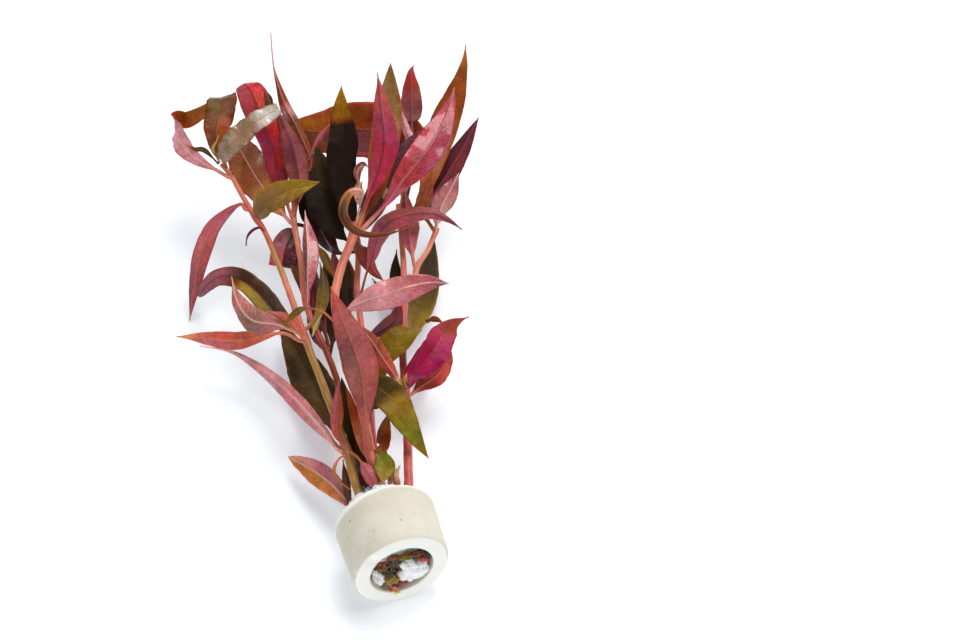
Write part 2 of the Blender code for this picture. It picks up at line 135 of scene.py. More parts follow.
# Leaves: name, stem, place of the node along Y, points from the foot to the tip, greatest width, shown
# side, direction in which that side looks near the foot, and the same near the tip. The points were picked
# in the photograph, turned into millimetres through the camera below with a guessed height, and
# rounded or moved.
LEAVES = (
    ("pot_left", "stem_b", 24, [(-10.5, 34.5, 12.5), (-13, 40.5, 12), (-17, 49, 9.5), (-22, 58, 6)],
     7.6, UNDER, FRONT, FRONT),
    ("a1_long", "stem_a", 44,
     [(-11, 51.5, 21), (-14, 60, 20.5), (-17.5, 69.5, 20), (-21.5, 80, 18.5), (-26, 89, 17),
      (-31.5, 96.5, 16), (-40.5, 102.5, 15)],
     5, UNDER, (-4, -3, 7), (-1, -4, 8)),
    ("a1_narrow", "stem_a", 45, [(-8, 48, 25), (-6, 55, 27), (-4.5, 61, 28), (-3.5, 64.5, 28.5)],
     4, UNDER, RIGHTISH, FRONT),
    ("a1_drooping", "stem_a", 43, [(-4.5, 37, 25), (-3.5, 33, 25.5), (-2.5, 29, 25.5), (-1, 24.5, 24)],
     4.5, UNDER, (-3, -2, 7), (-2, -2, 7)),
    ("a1_olive", "stem_a", 47,
     [(-7.5, 71, 10.5), (-8.5, 80, 9.5), (-10, 91, 8.5), (-11.5, 103, 8), (-13.5, 113, 8)],
     13.5, UPPER, RIGHTISH, FRONT),
    ("a2_orange", "stem_a", 87,
     [(-15, 92.5, 24), (-22, 94, 23), (-29.5, 95, 22), (-36, 98.5, 21), (-42, 103, 19), (-47, 107, 16.5)],
     6, UNDER, (-1, -7, 5), (-1, -6, 7)),
    ("a2_curl", "stem_a", 89, [(-17, 91, 30), (-24, 95, 30), (-27, 103, 31), (-27, 111.5, 34)],
     8.5, UNDER, (-1, -6, 7), (-6, -3, 6)),
    ("a2_small", "stem_a", 87, [(-13.5, 91, 32), (-19.5, 94, 34)], 3, UNDER, FRONT, FRONT),
    ("a2_arch", "stem_a", 90,
     [(-14, 101, 21), (-17, 107.5, 22), (-19.5, 114, 22.5), (-22.5, 119, 23), (-26, 123, 22.5),
      (-30, 125.5, 20.5), (-33.5, 128.5, 14.5), (-35.5, 133, 6.5), (-36, 138, 1)],
     8, UPPER, (3, -6, 6), (-4, -7, 3)),
    ("a2_back", "stem_a", 91, [(-2, 99, 24), (2, 111, 23), (3, 121, 23)], 4.5, UPPER, RIGHTISH, FRONT),
    ("a3_arc", "stem_a", 143,
     [(-17.5, 146.5, 30.5), (-22.5, 146, 28), (-28.5, 143, 24.5), (-33.5, 137, 19), (-37.5, 132, 10),
      (-40.5, 127.5, 1)],
     6, UNDER, (-3, -6, 6), (-6, -4, 5)),
    ("a3_tan", "stem_a", 139, [(-10, 139, 37), (-3, 139, 40), (8, 139, 41)], 8.5, UPPER, FRONT, FRONT),
    ("a4_bent", "stem_a", 158,
     [(-22.5, 161, 34), (-26.5, 166, 34), (-30, 172.5, 34), (-31.5, 180, 33.5), (-31.5, 187.5, 32),
      (-30, 191.5, 31.5), (-27, 190, 32), (-23, 190, 33.5), (-18.5, 190, 36), (-11.5, 191, 39)],
     7, UNDER, (-1, -7, 7), (1, 7, -6)),
    ("a4_hanging", "stem_a", 162,
     [(-20.5, 167, 38), (-19.5, 172, 41.5), (-17.5, 177, 43), (-15.5, 182.5, 44), (-14.5, 186, 42.5)],
     10, UPPER, FRONT, (0, -1, 7)),
    ("a4_wet", "stem_a", 163,
     [(-18.5, 161.5, 41), (-14, 162.5, 45), (-10, 164, 47.5), (-5, 165, 49.5), (1, 167, 50.5)],
     7.5, UPPER, (-2, -5, 7), FRONT),
    ("b1_pink", "stem_b", 105, [(-2.5, 112, 29), (-0.5, 121, 32), (1.5, 133.5, 35)],
     6.5, UNDER, LEFTISH, FRONT),
    ("b1_under", "stem_b", 106, [(-1, 113, 13), (5, 124, 5), (6, 136, 1)], 7, UPPER, SIDE_LEFT, SKY),
    ("b2_torn", "stem_b", 134, [(-6, 132.5, 21), (-8.5, 128, 17)], 9, UNDER, FRONT, FRONT),
    ("b2_broad", "stem_b", 136,
     [(-5.5, 147.5, 26), (-7.5, 153, 27), (-10, 163, 28), (-12, 173.5, 29), (-13.5, 182, 29.5)],
     14, UPPER, (-2, -5, 8), LEFTISH),
    ("b2_crimson", "stem_b", 138,
     [(-3, 154.5, 32), (-3, 160, 36.5), (-3.5, 165, 42), (-4.5, 169.5, 46), (-5.5, 174.5, 49),
      (-6.5, 179, 50.5), (-7.5, 183, 49.5)],
     11, UNDER, LEFTISH, (-1, 2, 8)),
    ("b2_mauve", "stem_b", 139, [(2.5, 147, 35), (2.8, 157.5, 41), (1, 171, 46.5)],
     8, UNDER, RIGHTISH, FRONT),
    ("b3_spike", "stem_b", 152,
     [(8.5, 157, 31.5), (8, 162.5, 35.5), (6.5, 169, 39.5), (4.5, 174.5, 43.5), (3.5, 178.5, 48.5),
      (3, 184, 54), (4.5, 194, 60)],
     6, UNDER, SIDE_RIGHT, LEFTISH),
    ("c1_great", "stem_c", 38,
     [(0, 42, 34.5), (1.5, 52.5, 43), (1, 60, 47), (0, 70, 49), (-0.5, 84, 49.5)],
     11, UNDER, FRONT, FRONT),
    ("c1_green", "stem_c", 38, [(2.5, 35, 26), (2.5, 30, 26), (0.5, 24.5, 26)], 6.5, UPPER, FRONT, FRONT),
    ("c1_brown", "stem_c", 39, [(4.5, 42.5, 20), (6.5, 48, 20), (9.5, 55.5, 19)],
     4.5, UPPER, RIGHTISH, FRONT),
    ("c2_thin", "stem_c", 83,
     [(-3.5, 84.5, 39), (-6.5, 86.5, 39), (-9.5, 87.5, 38.5), (-12.5, 86.5, 37.5), (-16, 84.5, 36)],
     2.5, UPPER, FRONT, FRONT),
    ("c2_pale", "stem_c", 85, [(6, 83, 40), (18, 82, 44), (29, 82, 45), (36, 82, 43)],
     9.5, UNDER, HIGH, FRONT),
    ("c3_upright", "stem_c", 115,
     [(20, 122, 46), (25, 127.5, 52), (28.5, 133, 59), (30, 142.5, 64.5), (32, 155.5, 68)],
     9, UNDER, FRONT, LEFTISH),
    ("c3_behind", "stem_c", 116, [(23, 128, 41), (28, 138, 46), (34, 151, 53), (39, 167, 61)],
     10, UPPER, RIGHTISH, FRONT),
    ("c3_glossy", "stem_c", 114,
     [(25, 119.5, 44.5), (31.5, 123, 50), (39.5, 128, 54), (46.5, 134.5, 57), (52.5, 142.5, 60),
      (56, 150, 61)],
     10.5, UNDER, (2, -5, 7), FRONT),
    ("c3_hook", "stem_c", 116,
     [(18, 121.5, 49), (16, 121.5, 51), (13.5, 119.5, 52), (11, 115.5, 52), (10, 111.5, 51),
      (11.5, 107.5, 49), (15.5, 104.5, 48), (22, 104, 47), (28, 105.5, 46.5), (33, 106.5, 46.5)],
     3, UNDER, FRONT, FRONT),
    ("d1_ribbon", "stem_d", 67,
     [(10.5, 72, 26.5), (14, 73.5, 28.5), (18, 75, 30), (21, 76.5, 31), (22.5, 78.5, 30),
      (22.5, 80.5, 27.5)],
     8.5, UPPER, FRONT, BACK),
    ("d1_folded", "stem_d", 62,
     [(7.5, 60, 26), (9, 55.5, 29), (10.5, 50, 30.5), (12.5, 45.5, 27), (14.5, 41.5, 22.5), (17.5, 37, 17)],
     10.5, UPPER, (-1, -2, 7), (1, -7, 4)),
    ("d2_arch", "stem_d", 104,
     [(15.5, 108.5, 26), (18.5, 112, 30), (21.5, 116, 34), (25.5, 118.5, 37), (31.5, 119.5, 38),
      (39.5, 118.5, 38), (44.5, 115, 37), (48, 111, 35.5)],
     6.5, UNDER, SIDE_RIGHT, (1, -5, 8)),
    ("d2_under", "stem_d", 103, [(9, 112, 14), (11.5, 124, 6), (14, 136, 1)], 7, UPPER, RIGHTISH, SKY),
    ("d3_dark", "stem_d", 124, [(11.5, 131, 25), (10.5, 138, 26), (10.5, 146.5, 28), (11.5, 156, 29.5),
                                (12.5, 167, 31)],
     13.5, UPPER, FRONT, FRONT),
    ("d3_black", "stem_d", 125,
     [(16, 133, 32), (16, 141, 37), (17, 147, 42), (19, 152, 46), (20, 159, 51), (22, 166, 56)],
     10, UPPER, FRONT, LOW),
    ("e1_magenta", "stem_e", 64,
     [(20.5, 67.5, 21.5), (25, 69.5, 23.5), (29, 72.5, 25), (33, 77, 26), (37.5, 81.5, 25), (43, 84.5, 23.5)],
     10, UPPER, (-1, -6, 6), FRONT),
    ("e1_red", "stem_e", 62,
     [(22, 65.5, 17), (28, 68.5, 17), (31.5, 72.5, 17), (33.5, 76.5, 18), (33, 80, 18.5)],
     6.5, UNDER, FRONT, FRONT),
    ("e1_narrow", "stem_e", 64, [(12, 68, 29), (9, 73, 34), (6, 78, 37)], 5, UNDER, FRONT, FRONT),
    ("e1_under", "stem_e", 65, [(23, 77, 8), (30, 89, 1), (37, 98, 0.5)], 7, UPPER, HIGH, SKY),
    ("e2_olive", "stem_e", 81, [(26, 94, 12), (36, 115, 6), (47, 145, 0.5)], 9.5, UPPER, RIGHTISH, SKY),
    ("e3_maroon", "stem_e", 97, [(19, 88, 24), (9, 82.5, 25)], 5.5, UNDER, FRONT, FRONT),
    ("e3_under", "stem_e", 98, [(26, 106, 10), (24, 118, 3), (22, 131, 0.5)], 7, UPPER, HIGH, SKY),
    ("e4_red", "stem_e", 135,
     [(42, 152, 32), (44, 160.5, 35.5), (45, 165, 38.5), (46, 169, 42), (47, 173, 45), (48, 176.5, 47.5),
      (49.5, 179, 48)],
     7.5, UNDER, FRONT, FRONT),
    ("e4_narrow", "stem_e", 134, [(41, 152, 37), (41.5, 158, 39), (41, 164, 42), (40, 171, 46)],
     4.5, UNDER, FRONT, FRONT),
    ("e4_tall", "stem_e", 128,
     [(42, 137, 30), (49, 150, 34), (55, 158, 40), (60, 163, 47), (64, 168, 54), (66, 173, 58)],
     10, UPPER, FRONT, RIGHTISH),
    ("e4_purple", "stem_e", 127, [(45, 139, 25), (57, 151, 29), (68, 164, 33)], 8, UNDER, FRONT, FRONT),
    ("e4_wide", "stem_e", 131,
     [(39.5, 147, 24), (44, 155, 27), (41.5, 163, 29), (33.5, 168, 31.5), (25, 169.5, 33), (17.5, 170.5, 33),
      (12, 171.5, 33.5), (7, 173.5, 34)],
     20.5, UPPER, FRONT, FRONT),
    ("s1_pink", "side_shoot", 108, [(32, 116, 29.5), (33, 123, 32), (34, 129, 34.5), (34.5, 134, 37)],
     7, UNDER, LEFTISH, FRONT),
    ("s2_pink", "side_shoot", 119, [(44, 123, 35), (48, 126, 39), (52, 130, 42)],
     7.5, UNDER, RIGHTISH, (0, -3, 7)),
    ("s2_brown", "side_shoot", 119, [(39, 127, 32), (42.5, 134, 34), (46, 140, 37)],
     5, UPPER, FRONT, FRONT),
)

# Leaves past the number that may be solids, most of them half hidden between the stems, and young leaves,
# bracts and scraps that are too small for solids: as above, with one direction. A scrap has no stem.
SMALL_LEAVES = (
    ("c3_wine", "stem_c", 113,
     [(23, 127, 38), (29, 135.5, 40), (35.5, 142, 42), (41, 147, 44), (46.5, 150.5, 46)],
     9, UNDER, (1, -5, 7)),
    ("d3_wine", "stem_d", 122,
     [(10, 127, 20), (7.5, 137.5, 20), (8, 147, 22), (11.5, 157.5, 24), (15, 165, 25)],
     8.5, UNDER, FRONT),
    ("d3_maroon", "stem_d", 124, [(16, 120, 29), (16.5, 114.5, 29), (18, 109, 27), (20.5, 105.5, 25)],
     5.5, UNDER, RIGHTISH),
    ("b2_shade", "stem_b", 136, [(3, 139, 23), (5, 146, 24), (6.5, 153, 25), (9, 161, 26)], 7, UPPER, FRONT),
    ("b2_brown", "stem_b", 136, [(-3, 134, 21.5), (-3, 128, 17), (-3.5, 121, 14.5), (-4.5, 115.5, 13)],
     5.5, UPPER, FRONT),
    ("b1_maroon", "stem_b", 88, [(-4, 97, 13.5), (-2, 109, 14), (0, 119, 15.5), (2, 128, 17.5)],
     5.5, UNDER, FRONT),
    ("b1_wine", "stem_b", 88,
     [(-1.5, 92, 18), (-1.5, 98.5, 19), (-1, 107.5, 20), (0.5, 116, 21), (1.5, 122.5, 22)],
     4.5, UNDER, FRONT),
    ("b1_shade", "stem_b", 86, [(1.5, 96.5, 15.5), (2, 104.5, 16.5), (3, 113, 17.5), (4.5, 122, 18.5)],
     6, UPPER, FRONT),
    ("b1_dark", "stem_b", 40, [(-2.5, 50, 18.5), (-2, 58, 19), (-1.5, 66, 19.5), (-1, 73, 20)],
     4.5, UPPER, FRONT),
    ("c1_rust", "stem_c", 36, [(-1, 43, 22), (-1, 50, 22.5), (-1, 58, 23.5), (-1, 65, 24)],
     3.5, UPPER, FRONT),
    ("c2_dark", "stem_d", 92, [(7, 97, 20), (8, 104, 22), (10, 111, 24), (12, 118.5, 26)], 4, UPPER, FRONT),
    ("e3_dark", "stem_e", 98, [(25.5, 109, 18), (27, 116.5, 19), (29, 123, 20)], 4.5, UPPER, FRONT),
    ("d2_green", "stem_d", 105, [(8, 111, 13), (5.5, 118, 14), (5, 127, 17)], 7, UPPER, FRONT),
    ("d2_brown", "stem_d", 105, [(11.5, 112, 15), (12, 119, 16.5), (13, 128, 18.5)], 5, UPPER, FRONT),
    ("d2_wine", "stem_d", 106, [(9.5, 113, 18), (8.5, 121, 19), (9, 130, 20)], 5, UNDER, RIGHTISH),
    ("olive_ribbon", None, 0, [(3, 130, 23.5), (4.5, 124, 24), (5.5, 118, 23), (7, 112, 21)],
     3, UPPER, FRONT),
    ("sprout_twisted", None, 0, [(-21, 164, 33.5), (-24.5, 169, 36), (-27.5, 170.5, 36), (-29.5, 174, 35)],
     2, UPPER, FRONT),
    ("sprout_yellow", None, 0, [(-20.5, 164.5, 33.5), (-22, 166.5, 38), (-20.5, 167, 41), (-19.5, 167.5, 43)],
     1.5, UPPER, FRONT),
    ("crimson_tip", None, 0, [(-1.5, 168.5, 46), (-1, 173.5, 49), (-2, 178, 50.5)], 2.5, UPPER, FRONT),
    ("crimson_back", None, 0, [(-1, 152, 29), (0.5, 162, 35), (1, 170, 39.5)], 3.5, UPPER, FRONT),
    ("strip_pink", None, 0, [(7, 153, 38), (10, 156, 41), (14, 160, 43), (18, 163, 44)], 2, UNDER, FRONT),
    ("bit_brown", None, 0, [(29.5, 86, 23.5), (32, 85, 25), (34.5, 83.5, 24)], 2, UPPER, FRONT),
    ("hook_maroon", None, 0, [(-12, 132, 29.5), (-13.5, 134, 30.5), (-16, 134, 30), (-18, 133, 28.5),
                              (-19, 131, 26.5)], 1, UNDER, FRONT),
    ("gold_sprout", None, 0, [(-7, 86, 27), (-5, 89.5, 28), (-2.5, 92.5, 29)], 2, UPPER, FRONT),
    ("scrap_purple", None, 0, [(-3.5, 46, 17), (-3.5, 39, 18), (-3.5, 33, 19), (-4, 24, 18.5)],
     3.5, UNDER, FRONT),
    ("scrap_pink", None, 0, [(2.5, 24, 16.5), (4.5, 28, 18), (5.5, 31, 19.5), (8, 33.5, 21)],
     4, UNDER, FRONT),
    ("sheath_brown", None, 0, [(-9.5, 26, 16.5), (-8.5, 35, 17), (-8, 39.5, 17), (-7.5, 43.5, 17)],
     2.5, UPPER, FRONT),
    ("brown_petiole", None, 0, [(4.5, 23, 18.5), (4.5, 35, 20), (5, 40, 20), (5.5, 45, 20)], 2, UPPER, FRONT),
    ("dark_petiole", None, 0, [(-2, 24, 17), (-2, 32, 18), (-2, 40, 19), (-2, 52, 19)], 3.5, UPPER, FRONT),
    ("arc_petiole", None, 0, [(-7, 40.5, 22), (-9, 39, 23.5), (-11, 36.5, 24), (-12, 34.5, 23),
                              (-11, 33, 21), (-10, 32, 19.5), (-8, 30.5, 18)], 1, UNDER, FRONT),
    ("bract_left", None, 0, [(16.5, 63, 20.5), (15, 64.5, 23), (14, 66.5, 24.5)], 2, UPPER, FRONT),
    ("bract_right", None, 0, [(17, 63, 21), (17, 64, 23), (18, 65.5, 24.5)], 2, UPPER, FRONT),
    ("bud_grey", None, 0, [(18.5, 127, 38), (19.5, 133, 37.5), (20.5, 140.5, 37)], 3.5, UNDER, FRONT),
    ("bud_curl", None, 0, [(20.5, 137, 37.5), (21, 141.5, 39.5), (23.5, 144.5, 40), (25.5, 144.5, 38)],
     3, UPPER, FRONT),
    ("bud_amber", None, 0, [(17, 126, 43), (19, 129.5, 44.5), (20.5, 132, 44.5)], 2, UPPER, FRONT),
    ("bud_beige", None, 0, [(26.5, 129, 38), (27.5, 131.5, 39), (27.5, 134.5, 39)], 2.5, UPPER, FRONT),
)

# How a leaf is shaped: the share of its length that is petiole, where along the blade it is widest, how
# slowly it widens from the foot and narrows to the tip, how blunt its outer half is (0 drawn out, 1 a
# straight end), factors on the left and right half, the petiole's width, the angle at which each half rises,
# how ragged the margin is, and the directions in which the shown side looks at places along the leaf, if
# more than two.
USUAL_FORM = dict(petiole=0.08, peak=0.44, base=1.45, sharp=1.3, blunt=0.0, left=1.0, right=1.0, stalk=1.3,
                  fold=12.0, ragged=0.02, turns=None)
FORMS = {
    "pot_left": dict(fold=-5, base=1.0, sharp=0.8, peak=0.5),
    "a1_long": dict(petiole=0.04, peak=0.34, base=0.7, sharp=1.6, stalk=1.8),
    "a1_narrow": dict(base=0.8, sharp=1.1),
    "a1_olive": dict(petiole=0.04, base=1.0, sharp=0.9, peak=0.4),
    "a1_drooping": dict(petiole=0.5, peak=0.6, base=0.8, sharp=0.5, stalk=1.0),
    "a2_orange": dict(petiole=0.2, base=1.0, sharp=1.15, peak=0.4, fold=16),
    "a2_curl": dict(fold=18, petiole=0.14, base=1.2, sharp=1.5, peak=0.4),
    "a2_arch": dict(petiole=0.04, base=0.8, fold=20, peak=0.3, sharp=1.0,
                    turns=((0, (3, -6, 6)), (0.45, (2, -6, 6)), (0.6, (-1, -7, 5)), (1, (-5, -6, 3)))),
    "a3_arc": dict(petiole=0.06, base=1.0, sharp=1.0,
                   turns=((0, (-1, -6, 7)), (0.5, (-3, -6, 5)), (1, (-5, -6, 2)))),
    "a3_tan": dict(petiole=0.0, base=0.5, sharp=1.0, peak=0.4, ragged=0.05, left=0.9, right=1.1),
    "a4_bent": dict(base=0.9, sharp=0.8, peak=0.45, fold=4,
                    turns=((0, (-1, -7, 7)), (0.36, (-3, -7, 5)), (0.54, (-4, -6, 4)), (0.6, (-8, 1, 0)),
                           (0.66, (1, 7, -6)), (1, (1, 7, -6)))),
    "a4_hanging": dict(blunt=0.95, base=0.9, peak=0.7, fold=4, ragged=0.04,
                       turns=((0, FRONT), (0.78, FRONT), (0.88, (0, -1, 7)), (1, (0, 6, 6)))),
    "a4_wet": dict(petiole=0.02, base=0.9, sharp=0.6, blunt=0.4, ragged=0.12, fold=6),
    "b1_pink": dict(left=0.65, right=1.1, base=1.2),
    "b2_torn": dict(petiole=0.0, base=0.5, blunt=1.0, fold=6, ragged=0.03),
    "b2_broad": dict(base=1.1, sharp=0.9, peak=0.6, ragged=0.04),
    "b2_crimson": dict(blunt=0.55, base=0.9, peak=0.74, sharp=0.7, fold=14),
    "b2_mauve": dict(base=1.0, sharp=1.0, fold=14),
    "b3_spike": dict(peak=0.34, base=0.8, sharp=3.2, fold=22, petiole=0.0),
    "c1_great": dict(peak=0.46, base=1.8, sharp=1.15),
    "c1_green": dict(petiole=0.1, peak=0.6, base=1.4, sharp=0.9),
    "c1_brown": dict(base=0.7, sharp=0.9),
    "c2_thin": dict(petiole=0.5, stalk=0.8, fold=20),
    "c2_pale": dict(petiole=0.1, peak=0.45, base=1.1, sharp=1.0, fold=9),
    "c3_upright": dict(petiole=0.16, base=1.3, sharp=1.25, peak=0.42, stalk=1.6),
    "c3_behind": dict(base=1.0, sharp=0.9, peak=0.55),
    "c3_glossy": dict(petiole=0.14, peak=0.52, base=1.5, stalk=1.6, fold=14),
    "c3_hook": dict(petiole=0.1, base=0.8, sharp=1.8, peak=0.38, stalk=0.5, fold=12),
    "d1_ribbon": dict(petiole=0.1, base=0.3, blunt=0.9, fold=3,
                      turns=((0, FRONT), (0.7, FRONT), (0.82, (1, 1, 8)), (1, (3, 7, 3)))),
    "d1_folded": dict(petiole=0.06, base=0.5, sharp=0.95, peak=0.36, fold=8,
                      turns=((0, (-2, -3, 7)), (0.42, (-1, -2, 8)), (0.56, (1, -6, 5)), (1, (1, -7, 3)))),
    "d2_arch": dict(petiole=0.16, stalk=1.0, base=0.9, sharp=1.1, peak=0.4,
                    turns=((0, (5, -5, 4)), (0.3, (4, -5, 6)), (0.5, (1, -5, 8)), (1, (1, -5, 7)))),
    "d3_black": dict(petiole=0.0, base=0.9, sharp=1.0, peak=0.6, fold=14),
    "d3_dark": dict(base=1.0, sharp=1.0),
    "e1_magenta": dict(petiole=0.02, base=0.75, sharp=1.5, peak=0.42, ragged=0.05, fold=16),
    "e1_red": dict(base=1.0, sharp=0.9, peak=0.55, ragged=0.05),
    "e1_narrow": dict(petiole=0.0, base=1.2, sharp=0.8, peak=0.6),
    "e2_olive": dict(base=1.0, sharp=1.0),
    "e3_maroon": dict(base=0.8, sharp=1.0),
    "e4_red": dict(petiole=0.63, base=0.25, sharp=1.1, peak=0.3, ragged=0.04, fold=10),
    "e4_narrow": dict(petiole=0.1, base=0.7, sharp=1.3, peak=0.3, fold=22),
    "e4_wide": dict(petiole=0.3, blunt=0.3, base=0.8, sharp=0.7, peak=0.42),
    "e4_tall": dict(peak=0.5, base=1.2, sharp=1.2, fold=8),
    "e4_purple": dict(base=1.0, sharp=0.9),
    "s2_pink": dict(base=0.9, sharp=1.0, fold=16),
    "c3_wine": dict(petiole=0.05, base=0.9, sharp=1.0, fold=14),
    "d3_maroon": dict(petiole=0.05, base=1.0, sharp=0.9),
    "hook_maroon": dict(stalk=0.7, base=0.6),
    "arc_petiole": dict(stalk=0.75),
    "scrap_purple": dict(base=0.7),
    "sheath_brown": dict(petiole=0.0, base=0.4, stalk=0.8),
    "brown_petiole": dict(petiole=0.0, base=0.4, stalk=0.8),
    "dark_petiole": dict(petiole=0.0, base=0.4, sharp=0.7),
    "gold_sprout": dict(stalk=0.6),
    "b1_dark": dict(petiole=0.0, base=0.6, sharp=0.7),
    "c1_rust": dict(petiole=0.0, base=0.6, sharp=0.7),
    "bud_curl": dict(base=0.8, fold=24, stalk=0.8),
    "bud_grey": dict(base=0.6, blunt=0.3, stalk=0.8),
    "sprout_twisted": dict(stalk=0.8, fold=30),
    "sprout_yellow": dict(stalk=0.8, fold=30),
}

# Pigments of the living plant, of the wool and of the fired clay.
PIGMENTS = {
    "blush": "#E4B2A2", "shell_pink": "#D08A8E", "dusty_pink": "#BE6870", "mauve": "#A0545A",
    "old_rose": "#AC4E52", "crimson": "#AA3048", "scarlet": "#C0302E", "coral": "#C65648",
    "red_brown": "#943C26", "maroon": "#702A30", "wine": "#501422", "black_wine": "#2C0A12",
    "salmon": "#DA8264", "bright_salmon": "#E8906A", "warm_pink": "#CC645A", "apricot": "#D68E52",
    "amber": "#C4762A", "tan": "#A0642A", "grey_tan": "#927258", "rust": "#9A4416",
    "orange_brown": "#A05612", "brown": "#70360C", "dark_brown": "#442208", "black_brown": "#1E110A",
    "olive_tan": "#8C6A30", "stem_tan": "#AA7C3C", "golden_olive": "#94720A", "leaf_green": "#747606",
    "olive": "#644A06", "dark_olive": "#3A2A08", "black_olive": "#181008", "magenta": "#9A0046",
    # pale_grey_and_glare is a pale grey; at the tip of a4_wet it is a painted highlight, the glare on the wet
    # leaf.
    "grey_mauve": "#805250", "cream": "#EED6AC", "pale_grey_and_glare": "#D2C8C0", "amber_olive": "#885A0E",
    "lime": "#C8DC2A",
}

